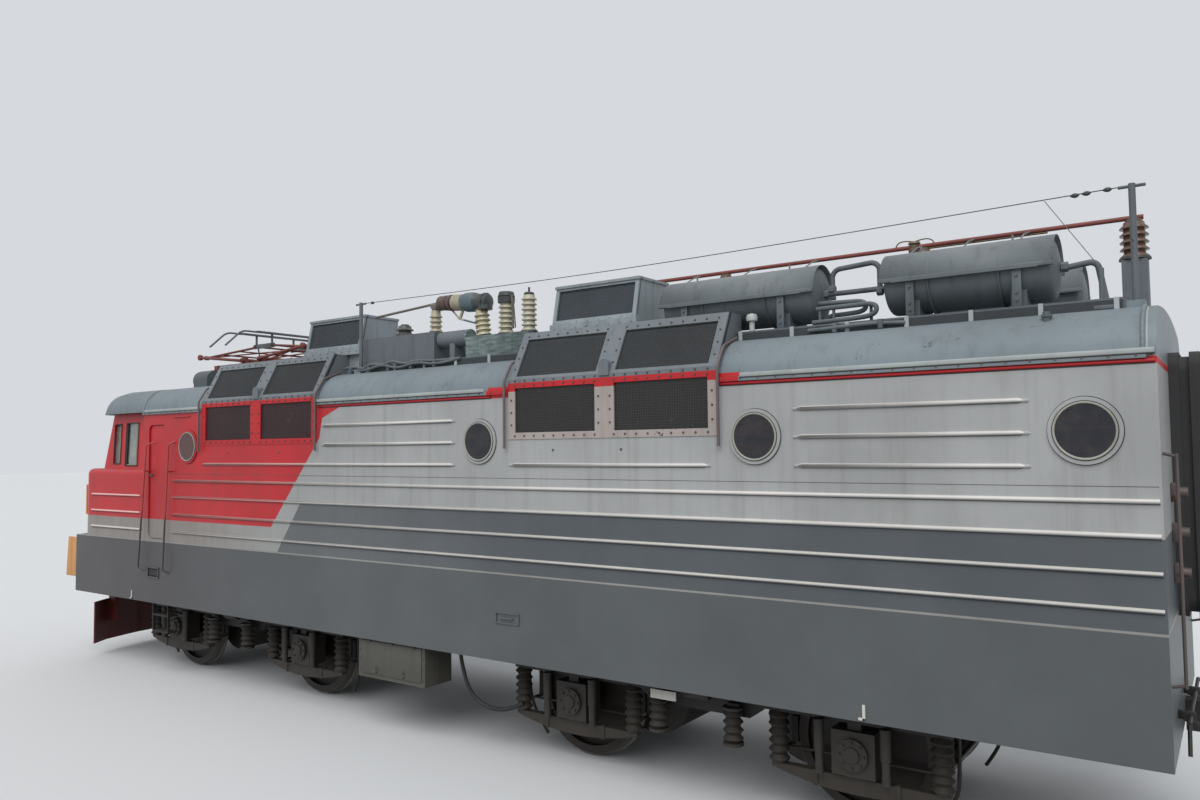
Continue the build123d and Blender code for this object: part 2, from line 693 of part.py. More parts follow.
with BuildPart() as door_left:
    with BuildSketch(Plane.XZ.offset(-(INNER_HALF + DOOR_THICK))):
        with Locations(((DOOR_FRONT + DOOR_REAR) / 2, (DOOR_SILL + DOOR_HEAD) / 2)):
            RectangleRounded(DOOR_FRONT - DOOR_REAR - 2 * DOOR_GAP, DOOR_HEAD - DOOR_SILL - 2 * DOOR_GAP,
                             DOOR_CORNER - DOOR_GAP)
    extrude(amount=DOOR_THICK)
    for z in HINGE_HEIGHTS:
        rod((HINGE_X, HINGE_Y, z), (HINGE_X, HINGE_Y, z + HINGE_LENGTH), HINGE_RADIUS)
        block(HINGE_X, HINGE_X + HINGE_LEAF, HINGE_Y, INNER_HALF, z, z + HINGE_LENGTH)
finish(door_left, "door_left")
with BuildPart() as door_right:
    add(mirror(door_left.part, about=Plane.XZ))
finish(door_right, "door_right")
with BuildPart() as gangway_door:
    with BuildSketch(Plane.YZ.offset(REAR_END - DOOR_THICK)):
        with Locations((0, (DOOR_SILL + GANGWAY_HEAD) / 2)):
            RectangleRounded(2 * (GANGWAY_HALF - DOOR_GAP), GANGWAY_HEAD - DOOR_SILL - 2 * DOOR_GAP,
                             GANGWAY_CORNER - DOOR_GAP)
    extrude(amount=DOOR_THICK)
    for z in HINGE_HEIGHTS:
        rod((GANGWAY_HINGE_X, GANGWAY_HINGE_Y, z), (GANGWAY_HINGE_X, GANGWAY_HINGE_Y, z + HINGE_LENGTH), HINGE_RADIUS)
        block(REAR_END, GANGWAY_HINGE_X, GANGWAY_HINGE_Y - HINGE_LEAF, GANGWAY_HINGE_Y, z, z + HINGE_LENGTH)
finish(gangway_door, "gangway_door")


# Bogies. Each is built about its own pivot: side frames dropped at mid length, a transom with the
# kingpin bore and two end beams.
FRAME_Y = 1000
FRAME_WIDTH = 140
FRAME_BOTTOM = 900
FRAME_TOP = 1160
FRAME_HALF = 2300
FRAME_DROP = 110
FRAME_DROP_HALF = 520
FRAME_DROP_RUN = 150
END_BEAM = 110
END_BEAM_RISE = 60
TRANSOM_HALF = 300
BORE_MARGIN = 130
KINGPIN_CLEAR = 1.5


def bogie_frame(x):
    """Frame of one bogie about its pivot x."""
    for side in (1, -1):
        with BuildSketch(Plane.XZ.offset(-(side * FRAME_Y + (side + 1) * FRAME_WIDTH / 2))) as profile:
            with BuildLine():
                drop = FRAME_DROP_HALF + FRAME_DROP_RUN
                Polyline(
                    (x - FRAME_HALF, FRAME_TOP),
                    (x + FRAME_HALF, FRAME_TOP),
                    (x + FRAME_HALF, FRAME_BOTTOM),
                    (x + drop, FRAME_BOTTOM),
                    (x + FRAME_DROP_HALF, FRAME_BOTTOM - FRAME_DROP),
                    (x - FRAME_DROP_HALF, FRAME_BOTTOM - FRAME_DROP),
                    (x - drop, FRAME_BOTTOM),
                    (x - FRAME_HALF, FRAME_BOTTOM),
                    close=True,
                )
            make_face()
        extrude(profile.sketch, amount=FRAME_WIDTH)
    block(x - TRANSOM_HALF, x + TRANSOM_HALF, -FRAME_Y, FRAME_Y, FRAME_BOTTOM, FRAME_TOP)
    for end in (1, -1):
        edge = x + end * FRAME_HALF
        block(edge - end * END_BEAM, edge, -FRAME_Y, FRAME_Y, FRAME_BOTTOM + END_BEAM_RISE, FRAME_TOP)
    rod((x, 0, FRAME_BOTTOM - BORE_MARGIN), (x, 0, FRAME_TOP + BORE_MARGIN), KINGPIN_RADIUS + KINGPIN_CLEAR,
        mode=Mode.SUBTRACT)


# Axle boxes, each slung on a leaf spring with a coil spring at both ends, and the cradle springs
# that carry the body beside the transom.
BOX_HALF = 190
BOX_INNER = 930
BOX_OUTER = 1190
BOX_COVER = 135
BOX_COVER_DEPTH = 35
GUIDE_HALF = 60
JOURNAL_CLEAR = 2
LEAF_REACH = 775
LEAF_WIDTH = 90
LEAF_END = 30
LEAF_DROP = 300
LEAF_Y = 1090
LEAF_BAND = 90
SPRING_REACH = 715
SPRING_BOTTOM = 440
SPRING_RADIUS = 95
SPRING_CORE = 62
SPRING_TURNS = 6
CRADLE_REACH = 400
CRADLE_Y = 1240
CRADLE_BOTTOM = 560
CRADLE_TOP = 880
CRADLE_PLATE = 24
CRADLE_TURNS = 4
CRADLE_ARM = 60


def coil(x, y, foot, top, turns):
    """A coil spring as stacked turns on its core."""
    pitch = (top - foot) / turns
    outline = [(0, foot), (SPRING_CORE, foot)]
    for turn in range(turns):
        base = foot + turn * pitch
        outline += [(SPRING_RADIUS, base + pitch / 2), (SPRING_CORE, base + pitch)]
    outline += [(0, top)]
    with BuildSketch(Plane(origin=(x, y, 0), x_dir=(1, 0, 0), z_dir=(0, -1, 0))) as profile:
        with BuildLine():
            Polyline(*outline, close=True)
        make_face()
    revolve(profile.sketch, axis=Axis((x, y, 0), (0, 0, 1)))


def axle_box(x, side):
    """One axle box with its cover, guide, leaf spring and coil springs."""
    bore = JOURNAL_RADIUS + JOURNAL_CLEAR
    outer = side * BOX_OUTER
    block(x - BOX_HALF, x + BOX_HALF, side * BOX_INNER, outer, AXLE_HEIGHT - BOX_HALF, AXLE_HEIGHT + BOX_HALF)
    rod((x, outer, AXLE_HEIGHT), (x, outer + side * BOX_COVER_DEPTH, AXLE_HEIGHT), BOX_COVER)
    block(x - GUIDE_HALF, x + GUIDE_HALF, side * FRAME_Y, side * (FRAME_Y + FRAME_WIDTH),
          AXLE_HEIGHT + BOX_HALF, FRAME_BOTTOM)
    rod((x, side * (BOX_INNER - JOURNAL_CLEAR), AXLE_HEIGHT), (x, side * (JOURNAL_END + JOURNAL_CLEAR), AXLE_HEIGHT),
        bore, mode=Mode.SUBTRACT)
    with BuildSketch(Plane.XZ.offset(-(side * LEAF_Y + LEAF_WIDTH / 2))) as leaf:
        with BuildLine():
            low = SPRING_BOTTOM - LEAF_END
            Line((x - LEAF_REACH, SPRING_BOTTOM), (x + LEAF_REACH, SPRING_BOTTOM))
            Line((x + LEAF_REACH, SPRING_BOTTOM), (x + LEAF_REACH, low))
            ThreePointArc((x + LEAF_REACH, low), (x, LEAF_DROP), (x - LEAF_REACH, low))
            Line((x - LEAF_REACH, low), (x - LEAF_REACH, SPRING_BOTTOM))
        make_face()
    extrude(leaf.sketch, amount=LEAF_WIDTH)
    block(x - LEAF_BAND, x + LEAF_BAND, side * (LEAF_Y - LEAF_WIDTH / 2), side * (LEAF_Y + LEAF_WIDTH / 2),
          SPRING_BOTTOM, AXLE_HEIGHT - BOX_HALF)
    for end in (1, -1):
        coil(x + end * SPRING_REACH, side * LEAF_Y, SPRING_BOTTOM, FRAME_BOTTOM, SPRING_TURNS)


def cradle_spring(x, side):
    """A body cradle spring hung beside the side frame on an arm."""
    y = side * CRADLE_Y
    coil(x, y, CRADLE_BOTTOM + CRADLE_PLATE, CRADLE_TOP, CRADLE_TURNS)
    rod((x, y, CRADLE_BOTTOM), (x, y, CRADLE_BOTTOM + CRADLE_PLATE), SPRING_RADIUS)
    rod((x, y, CRADLE_TOP), (x, y, CRADLE_TOP + CRADLE_PLATE), SPRING_RADIUS)
    block(x - CRADLE_ARM, x + CRADLE_ARM, side * (FRAME_Y + FRAME_WIDTH), y,
          CRADLE_TOP, CRADLE_TOP + 2 * CRADLE_PLATE)


# Brake rigging: a shoe on each side of every wheel, hung from the side frame by a link and a pin.
SHOE_Y = 805
SHOE_WIDTH = 85
SHOE_GAP = 12
SHOE_DEPTH = 60
SHOE_BOTTOM = 560
SHOE_TOP = 790
LINK_RADIUS = 22
LINK_TOP = 930
TIE_BOTTOM = 520


def brake_shoe(axle, end, side):
    """A curved shoe beside the tread with its link, and the pin to the side frame."""
    inner = WHEEL_RADIUS + SHOE_GAP
    reach = inner + SHOE_DEPTH
    with BuildSketch(Plane.XZ.offset(-(side * SHOE_Y + SHOE_WIDTH / 2))) as shoe:
        with Locations((axle, AXLE_HEIGHT)):
            Circle(reach)
            Circle(inner, mode=Mode.SUBTRACT)
        with Locations((axle + end * reach, (SHOE_BOTTOM + SHOE_TOP) / 2)):
            Rectangle(2 * SHOE_DEPTH, SHOE_TOP - SHOE_BOTTOM, mode=Mode.INTERSECT)
    extrude(shoe.sketch, amount=SHOE_WIDTH)
    x = axle + end * (reach + LINK_RADIUS / 2)
    rod((x, side * SHOE_Y, TIE_BOTTOM), (x, side * SHOE_Y, LINK_TOP), LINK_RADIUS)
    rod((x, side * SHOE_Y, LINK_TOP), (x, side * FRAME_Y, LINK_TOP), LINK_RADIUS)


MOTOR_RADIUS = 480
MOTOR_HALF = 560
MOTOR_OFFSET = 640
MOTOR_HEIGHT = 700
FLOAT_GAP = 8
for number, end_name in ((1, "front"), (-1, "rear")):
    pivot = number * PIVOT_SPACING / 2
    with BuildPart() as bogie:
        bogie_frame(pivot)
    finish(bogie, f"bogie_{end_name}")
    with BuildPart() as springs:
        for side in (1, -1):
            for end in (1, -1):
                axle_box(pivot + end * WHEELBASE / 2, side)
                cradle_spring(pivot + end * CRADLE_REACH, side)
    finish(springs, f"springs_{end_name}")
    with BuildPart() as brakes:
        for axle in (pivot + WHEELBASE / 2, pivot - WHEELBASE / 2):
            for side in (1, -1):
                for end in (1, -1):
                    brake_shoe(axle, end, side)
    finish(brakes, f"brakes_{end_name}")

for number, name in ((1, "motors_front"), (-1, "motors_rear")):
    pivot = number * PIVOT_SPACING / 2
    with BuildPart() as motors:
        for end in (1, -1):
            axle = pivot + end * WHEELBASE / 2
            x = axle - end * MOTOR_OFFSET
            rod((x, -MOTOR_HALF, MOTOR_HEIGHT), (x, MOTOR_HALF, MOTOR_HEIGHT), MOTOR_RADIUS - 60)
            block(pivot + end * TRANSOM_HALF, x, -300, 300, FRAME_BOTTOM, FRAME_TOP - 60)
            rod((axle, -MOTOR_HALF, AXLE_HEIGHT), (axle, MOTOR_HALF, AXLE_HEIGHT), AXLE_RADIUS + 50)
            block(x, axle, -MOTOR_HALF, MOTOR_HALF, AXLE_HEIGHT - 120, AXLE_HEIGHT + 120)
            rod((axle, -MOTOR_HALF - 1, AXLE_HEIGHT), (axle, MOTOR_HALF + 1, AXLE_HEIGHT),
                AXLE_RADIUS + FLOAT_GAP, mode=Mode.SUBTRACT)
    finish(motors, name)


# Wheelsets: two flanged wheels fixed on one axle.
HUB_RADIUS = 170
RIM_DEPTH = 90
WEB_THICK = 40
for number, x in enumerate(AXLE_X, start=1):
    with BuildPart() as wheelset:
        with BuildSketch(Plane.YZ.offset(x)):
            with BuildLine():
                Polyline(
                    (0, 0),
                    (JOURNAL_END, 0),
                    (JOURNAL_END, JOURNAL_RADIUS),
                    (BOX_INNER - 20, JOURNAL_RADIUS),
                    (BOX_INNER - 20, AXLE_RADIUS),
                    (WHEEL_BACK + WHEEL_WIDTH + 10, AXLE_RADIUS),
                    (WHEEL_BACK + WHEEL_WIDTH + 10, HUB_RADIUS),
                    (WHEEL_BACK + 90, HUB_RADIUS),
                    (WHEEL_BACK + 80, WHEEL_RADIUS - RIM_DEPTH),
                    (WHEEL_BACK + WHEEL_WIDTH, WHEEL_RADIUS - RIM_DEPTH),
                    (WHEEL_BACK + WHEEL_WIDTH, WHEEL_RADIUS - 6),
                    (WHEEL_BACK + 34, WHEEL_RADIUS),
                    (WHEEL_BACK + 26, WHEEL_RADIUS + FLANGE),
                    (WHEEL_BACK + 8, WHEEL_RADIUS + FLANGE),
                    (WHEEL_BACK, WHEEL_RADIUS + 10),
                    (WHEEL_BACK, WHEEL_RADIUS - RIM_DEPTH),
                    (WHEEL_BACK + 40, WHEEL_RADIUS - RIM_DEPTH),
                    (WHEEL_BACK + 20, HUB_RADIUS),
                    (WHEEL_BACK - 30, HUB_RADIUS),
                    (WHEEL_BACK - 30, AXLE_RADIUS),
                    (0, AXLE_RADIUS),
                    close=True,
                )
            make_face()
        revolve(axis=Axis((x, 0, 0), (0, 1, 0)))
        mirror(about=Plane.XZ)
    wheelset.part.position = (0, 0, AXLE_HEIGHT)
    finish(wheelset, f"wheelset_{number}")


# Pantograph. A folded diamond: both pairs of arms are as long as each other, and the head
# pivots are as far apart as the base pivots, so every arm turns by the same angle.
FOLD = math.radians(PANTO_FOLD)
KNUCKLE_X = PANTO_HALF + PANTO_ARM * math.cos(FOLD)
KNUCKLE_Z = PANTO_BASE + PANTO_ARM * math.sin(FOLD)
HEAD_PIVOT_Z = PANTO_BASE + 2 * PANTO_ARM * math.sin(FOLD)
BASE_Y = 530
BASE_HALF_LENGTH = 1000
BASE_BOTTOM = 4600
BASE_DEPTH = 50
INSULATOR_X = 850
INSULATOR_Y = 550
BEARING_HALF = 25
PIN_CLEAR = 1.5
KNUCKLE_TUBE = 20
TOP_TUBE = 14
SLEEVE = 34
STRIP_X = 200
STRIP_Z = 5112
STRIP_HALF = 620
HORN_DROP = 250

with BuildPart() as panto_base:
    for side in (1, -1):
        block(PANTO_X - BASE_HALF_LENGTH, PANTO_X + BASE_HALF_LENGTH, side * (BASE_Y - 30), side * (BASE_Y + 30),
              BASE_BOTTOM, BASE_BOTTOM + BASE_DEPTH)
        for end in (1, -1):
            x = PANTO_X + end * PANTO_HALF
            block(x - 50, x + 50, side * (BASE_Y - BEARING_HALF), side * (BASE_Y + BEARING_HALF),
                  BASE_BOTTOM + BASE_DEPTH, PANTO_BASE + 50)
    for end in (1, -1):
        x = PANTO_X + end * INSULATOR_X
        block(x - 40, x + 40, -INSULATOR_Y - 60, INSULATOR_Y + 60, BASE_BOTTOM, BASE_BOTTOM + BASE_DEPTH)
    for end in (1, -1):
        x = PANTO_X + end * PANTO_HALF
        rod((x, -BASE_Y - 60, PANTO_BASE), (x, BASE_Y + 60, PANTO_BASE), SHAFT_TUBE + PIN_CLEAR, mode=Mode.SUBTRACT)
finish(panto_base, "panto_base")

for end, name in ((1, "panto_lower_front"), (-1, "panto_lower_rear")):
    with BuildPart() as lower_arm:
        foot = PANTO_X + end * PANTO_HALF
        knuckle = PANTO_X + end * KNUCKLE_X
        rod((foot, -LOWER_HALF, PANTO_BASE), (foot, LOWER_HALF, PANTO_BASE), SHAFT_TUBE)
        rod((knuckle, -LOWER_HALF, KNUCKLE_Z), (knuckle, LOWER_HALF, KNUCKLE_Z), KNUCKLE_TUBE)
        for side in (1, -1):
            rod((foot, side * LOWER_HALF, PANTO_BASE), (knuckle, side * LOWER_HALF, KNUCKLE_Z), ARM_TUBE)
            rod((foot, side * (BASE_Y - 60), PANTO_BASE), (knuckle, side * 30, KNUCKLE_Z), ARM_TUBE / 2)
    finish(lower_arm, name)

for end, name in ((1, "panto_upper_front"), (-1, "panto_upper_rear")):
    with BuildPart() as upper_arm:
        knuckle = PANTO_X + end * KNUCKLE_X
        top = PANTO_X + end * PANTO_HALF
        rod((top, -HEAD_HALF - 80, HEAD_PIVOT_Z), (top, HEAD_HALF + 80, HEAD_PIVOT_Z), TOP_TUBE)
        for side in (1, -1):
            rod((knuckle, side * (UPPER_HALF - 30), KNUCKLE_Z), (knuckle, side * (UPPER_HALF + 30), KNUCKLE_Z), SLEEVE)
            rod((knuckle, side * UPPER_HALF, KNUCKLE_Z), (top, side * HEAD_HALF, HEAD_PIVOT_Z), ARM_TUBE * 0.8)
            rod((knuckle, side * UPPER_HALF, KNUCKLE_Z), (top, -side * HEAD_HALF, HEAD_PIVOT_Z), ARM_TUBE / 2)
        rod((knuckle, -LOWER_HALF, KNUCKLE_Z), (knuckle, LOWER_HALF, KNUCKLE_Z), KNUCKLE_TUBE + PIN_CLEAR,
            mode=Mode.SUBTRACT)
    finish(upper_arm, name)

with BuildPart() as panto_head:
    for side in (1, -1):
        block(PANTO_X - PANTO_HALF - 40, PANTO_X + PANTO_HALF + 40, side * (HEAD_HALF + 30), side * (HEAD_HALF + 50),
              HEAD_PIVOT_Z - 35, HEAD_PIVOT_Z + 35)
        for end in (1, -1):
            x = PANTO_X + end * STRIP_X
            block(x - 15, x + 15, side * (HEAD_HALF + 30), side * (HEAD_HALF + 50), HEAD_PIVOT_Z + 35, STRIP_Z)
    for end in (1, -1):
        x = PANTO_X + end * STRIP_X
        block(x - 45, x + 45, -STRIP_HALF, STRIP_HALF, STRIP_Z - 10, STRIP_Z + 14)
        for side in (1, -1):
            pipe([
                (x, side * (STRIP_HALF - 20), STRIP_Z - 4),
                (x, side * (STRIP_HALF + 240), STRIP_Z - 4),
                (x, side * HORN_HALF, STRIP_Z - HORN_DROP),
            ], 14, 220)
        top = PANTO_X + end * PANTO_HALF
        clear = PIN_CLEAR if end > 0 else 6
        rod((top, -HEAD_HALF - 90, HEAD_PIVOT_Z), (top, HEAD_HALF + 90, HEAD_PIVOT_Z), TOP_TUBE + clear,
            mode=Mode.SUBTRACT)
finish(panto_head, "panto_head")


# High-voltage gear on the roof
SWITCH_Y = 960
HOOD_TOP = 4710
HATCH_TOP = 4600
BUS_Y = 420
BUS_Z = 5090
BUS_RADIUS = 20
BUSHING_TOP = 4740

# Roof insulators: stacked sheds on a round core. Columns: x, y, foot, top, shed radius.
INSULATORS = [
    (PANTO_X + INSULATOR_X, INSULATOR_Y, PAD_TOP, BASE_BOTTOM, 70),
    (PANTO_X + INSULATOR_X, -INSULATOR_Y, PAD_TOP, BASE_BOTTOM, 70),
    (PANTO_X - INSULATOR_X, INSULATOR_Y, PAD_TOP, BASE_BOTTOM, 70),
    (PANTO_X - INSULATOR_X, -INSULATOR_Y, PAD_TOP, BASE_BOTTOM, 70),
    (-50, SWITCH_Y, HOOD_TOP, 5000, 62),
    (500, SWITCH_Y, HOOD_TOP, 4860, 75),
    (-800, SWITCH_Y, HATCH_TOP, 4900, 75),
    (-1190, SWITCH_Y, HATCH_TOP, 5090, 75),
    (-1530, SWITCH_Y, HATCH_TOP, 5040, 68),
    (-3740, BUS_Y, PAD_TOP, BUS_Z - BUS_RADIUS, 75),
    (-5750, BUS_Y, PAD_TOP, BUS_Z - BUS_RADIUS, 75),
    (-7410, BUS_Y, BUSHING_TOP, BUS_Z - BUS_RADIUS, 90),
]
SHED_PITCH = 55
SHED_THICK = 22


def insulator(x, y, foot, top, radius):
    """A ribbed porcelain column revolved from one profile."""
    count = int((top - foot - 60) / SHED_PITCH)
    core = radius * 0.6
    outline = [(0, foot), (radius * 0.9, foot), (radius * 0.9, foot + 30), (core, foot + 30)]
    for shed in range(count):
        base = foot + 40 + shed * SHED_PITCH
        outline += [(core, base), (radius, base + 8), (core, base + SHED_THICK)]
    outline += [(core, top - 20), (radius * 0.7, top - 20), (radius * 0.7, top), (0, top)]
    with BuildSketch(Plane(origin=(x, y, 0), x_dir=(1, 0, 0), z_dir=(0, -1, 0))) as profile:
        with BuildLine():
            Polyline(*outline, close=True)
        make_face()
    revolve(profile.sketch, axis=Axis((x, y, 0), (0, 0, 1)))


with BuildPart() as roof_insulators:
    for x, y, foot, top, radius in INSULATORS:
        insulator(x, y, foot, top, radius)
finish(roof_insulators, "roof_insulators")


# Roof ventilation boxes: a leaning screen faces outwards above a plinth. Rear and front ends.
VENT_BOXES = [(1190, 2300), (-3050, -1970)]
VENT_INNER = 450
VENT_OUTER = 1100
VENT_PLINTH = 4620
VENT_TOP = 5040
VENT_LEAN = 90
VENT_FRAME = 45
VENT_RECESS = 30
with BuildPart() as vent_boxes:
    for rear, front in VENT_BOXES:
        block(rear - 20, front + 20, VENT_INNER - 20, VENT_OUTER + 20, HOUSING_TOP, VENT_PLINTH)
        block(rear - 20, front + 20, VENT_INNER - 20, HOUSING_DECK_HALF, PAD_TOP, HOUSING_TOP)
        with BuildSketch(Plane.YZ.offset(rear)) as section:
            with BuildLine():
                Polyline(
                    (VENT_INNER, VENT_PLINTH),
                    (VENT_OUTER, VENT_PLINTH),
                    (VENT_OUTER - VENT_LEAN, VENT_TOP),
                    (VENT_INNER, VENT_TOP),
                    close=True,
                )
            make_face()
        extrude(amount=front - rear)
        lean = math.atan2(VENT_LEAN, VENT_TOP - VENT_PLINTH)
        centre = ((rear + front) / 2, VENT_OUTER - VENT_LEAN / 2, (VENT_PLINTH + VENT_TOP) / 2)
        with BuildSketch(Plane(origin=centre, x_dir=(1, 0, 0), z_dir=(0, math.cos(lean), math.sin(lean)))):
            Rectangle(front - rear - 2 * VENT_FRAME, (VENT_TOP - VENT_PLINTH) / math.cos(lean) - 2 * VENT_FRAME)
        extrude(amount=-VENT_RECESS, mode=Mode.SUBTRACT)
finish(vent_boxes, "vent_boxes")


# Air reservoirs: domed drums on saddles. Columns: rear end, front end, side of the roof.
TANKS = [(-4950, -3300, 1), (-6920, -5530, 1), (-6920, -5530, -1)]
TANK_Y = 780
TANK_Z = 4680
TANK_RADIUS = 262
TANK_DOME = 90
SADDLE_HALF = 60
SADDLE_REACH = 200
SHIELD = 14
SHIELD_END = 120
FLANGE_REACH = 40
FLANGE_THICK = 26
SADDLES = [-4620, -3600, -5800, -6640]
with BuildPart() as air_tanks:
    for rear, front, side in TANKS:
        with BuildSketch(Plane(origin=(rear, side * TANK_Y, TANK_Z), x_dir=(1, 0, 0), z_dir=(0, -1, 0))) as drum:
            with BuildLine():
                length = front - rear
                Line((0, 0), (length, 0))
                Spline((length, 0), (length - 25, TANK_RADIUS * 0.72), (length - TANK_DOME, TANK_RADIUS),
                       tangents=((0, 1), (-1, 0)))
                Line((length - TANK_DOME, TANK_RADIUS), (TANK_DOME, TANK_RADIUS))
                Spline((TANK_DOME, TANK_RADIUS), (25, TANK_RADIUS * 0.72), (0, 0), tangents=((-1, 0), (0, -1)))
            make_face()
        revolve(drum.sketch, axis=Axis((rear, side * TANK_Y, TANK_Z), (1, 0, 0)))
        with BuildSketch(Plane.YZ.offset(rear + SHIELD_END)) as shield:
            with Locations((side * TANK_Y, TANK_Z)):
                Circle(TANK_RADIUS + SHIELD)
                Circle(TANK_RADIUS - SHIELD, mode=Mode.SUBTRACT)
            with Locations((side * TANK_Y, TANK_Z - TANK_RADIUS)):
                Rectangle(3 * TANK_RADIUS, 2 * TANK_RADIUS, mode=Mode.SUBTRACT)
            with Locations((side * (TANK_Y + TANK_RADIUS + FLANGE_REACH / 2), TANK_Z)):
                Rectangle(FLANGE_REACH + 2 * SHIELD, FLANGE_THICK)
        extrude(shield.sketch, amount=front - rear - 2 * SHIELD_END)
        for x in [saddle for saddle in SADDLES if rear < saddle < front]:
            block(x - SADDLE_HALF, x + SADDLE_HALF, side * (TANK_Y - SADDLE_REACH), side * (TANK_Y + SADDLE_REACH),
                  PAD_TOP, TANK_Z)
finish(air_tanks, "air_tanks")


# Roof fittings beside the main switch: a hood, a low hatch, a small drum and a capped vent.
DRUM_X = (-640, -160)
DRUM_Z = 4610
DRUM_RADIUS = 100
with BuildPart() as roof_fittings:
    block(-140, 1160, 600, 1080, PAD_TOP, HOOD_TOP)
    block(-1620, -660, 560, 1080, PAD_TOP, HATCH_TOP)
    rod((DRUM_X[0], SWITCH_Y, DRUM_Z), (DRUM_X[1], SWITCH_Y, DRUM_Z), DRUM_RADIUS)
    block(-440, -360, SWITCH_Y - 80, SWITCH_Y + 80, PAD_TOP, DRUM_Z)
    block(-7500, -7320, BUS_Y - 90, BUS_Y + 90, PAD_TOP, BUSHING_TOP)
finish(roof_fittings, "roof_fittings")

# Main switch: a horizontal arc chamber carried on its post insulator, with a contact arm.
CHAMBER_Z = 5045
CHAMBER_RADIUS = 70
with BuildPart() as main_switch:
    rod((-900, SWITCH_Y, CHAMBER_Z), (-120, SWITCH_Y, CHAMBER_Z), CHAMBER_RADIUS)
    block(-860, -740, SWITCH_Y - 50, SWITCH_Y + 50, 4900, CHAMBER_Z)
    rod((-120, SWITCH_Y, CHAMBER_Z), (20, SWITCH_Y, CHAMBER_Z), 30)
    block(-90, -10, SWITCH_Y - 40, SWITCH_Y + 40, 5000, CHAMBER_Z)
finish(main_switch, "main_switch")

# High-voltage bus along the roof to the rear bushing.
BUS_FRONT = -2900
BUS_REAR = -7480
with BuildPart() as hv_busbar:
    rod((BUS_REAR, BUS_Y, BUS_Z), (BUS_FRONT, BUS_Y, BUS_Z), BUS_RADIUS)
finish(hv_busbar, "hv_busbar")

# Air pipework between the reservoirs.
PIPE_RADIUS = 24
with BuildPart() as air_pipes:
    pipe([(-4960, TANK_Y, TANK_Z), (-5240, TANK_Y, TANK_Z), (-5520, TANK_Y, TANK_Z + 1)], PIPE_RADIUS, 100)
    pipe([(-5020, TANK_Y, TANK_Z + 10), (-5020, TANK_Y, 4900), (-5460, TANK_Y, 4930), (-5460, TANK_Y, TANK_Z + 10)],
         PIPE_RADIUS, 80)
    pipe([(-6930, TANK_Y, TANK_Z), (-7180, TANK_Y, TANK_Z + 30), (-7240, TANK_Y, PAD_TOP)], PIPE_RADIUS, 60)
finish(air_pipes, "air_pipes")

# Walkways along the roof edges: rear end and front end of each plank.
WALKWAYS = [(-7380, -4240), (-1700, 900)]
PLANK_INNER = 1110
PLANK_OUTER = 1190
PLANK_TOP = 4350
PLANK_THICK = 25
FOOT_PITCH = 520
with BuildPart() as roof_walkways:
    for rear, front in WALKWAYS:
        for side in (1, -1):
            block(rear, front, side * PLANK_INNER, side * PLANK_OUTER, PLANK_TOP - PLANK_THICK, PLANK_TOP)
            feet = int((front - rear) / FOOT_PITCH)
            for foot in range(feet + 1):
                x = rear + 40 + foot * (front - rear - 80) / feet
                block(x - 20, x + 20, side * 1130, side * 1170, 4278, PLANK_TOP - PLANK_THICK)
finish(roof_walkways, "roof_walkways")

# Aerial masts: x, y, foot, top.
MASTS = [(1070, 1180, 4300, 5170), (-7460, 1110, 4320, 5200)]
with BuildPart() as aerial_masts:
    for x, y, foot, top in MASTS:
        rod((x, y, foot), (x, y, top), 24)
        rod((x - 90, y, top - 20), (x + 90, y, top - 20), 12)
finish(aerial_masts, "aerial_masts")

# Lamps: roof searchlight and a pair of stacked buffer lamps at each lower corner.
CORNER_LAMP_Y = 1130
CORNER_LAMP_Z = (2160, 2420)
CORNER_LAMP_HALF = 130
with BuildPart() as lamps:
    block(LAMP_REAR, LAMP_FRONT - LAMP_FOOT, -LAMP_HALF, LAMP_HALF, ROOF_CROWN - ROOF_WALL / 2, PAD_TOP)
    add(outer_dome, mode=Mode.SUBTRACT)
    with BuildSketch(Plane.YZ.offset(LAMP_REAR)):
        with Locations((0, (PAD_TOP + LAMP_TOP - LAMP_HALF) / 2)):
            Rectangle(2 * LAMP_HALF, LAMP_TOP - LAMP_HALF - PAD_TOP)
        with Locations((0, LAMP_TOP - LAMP_HALF)):
            Circle(LAMP_HALF)
    extrude(amount=LAMP_FRONT - LAMP_REAR)
    with BuildSketch(Plane.YZ.offset(NOSE_FRONT - 60)):
        for side in (1, -1):
            for z in CORNER_LAMP_Z:
                with Locations((side * CORNER_LAMP_Y, z)):
                    Circle(CORNER_LAMP_HALF)
            with Locations((side * CORNER_LAMP_Y, sum(CORNER_LAMP_Z) / 2)):
                Rectangle(2 * CORNER_LAMP_HALF, CORNER_LAMP_Z[1] - CORNER_LAMP_Z[0])
    extrude(amount=130)
    add(cab_nose.part, mode=Mode.SUBTRACT)
finish(lamps, "lamps")

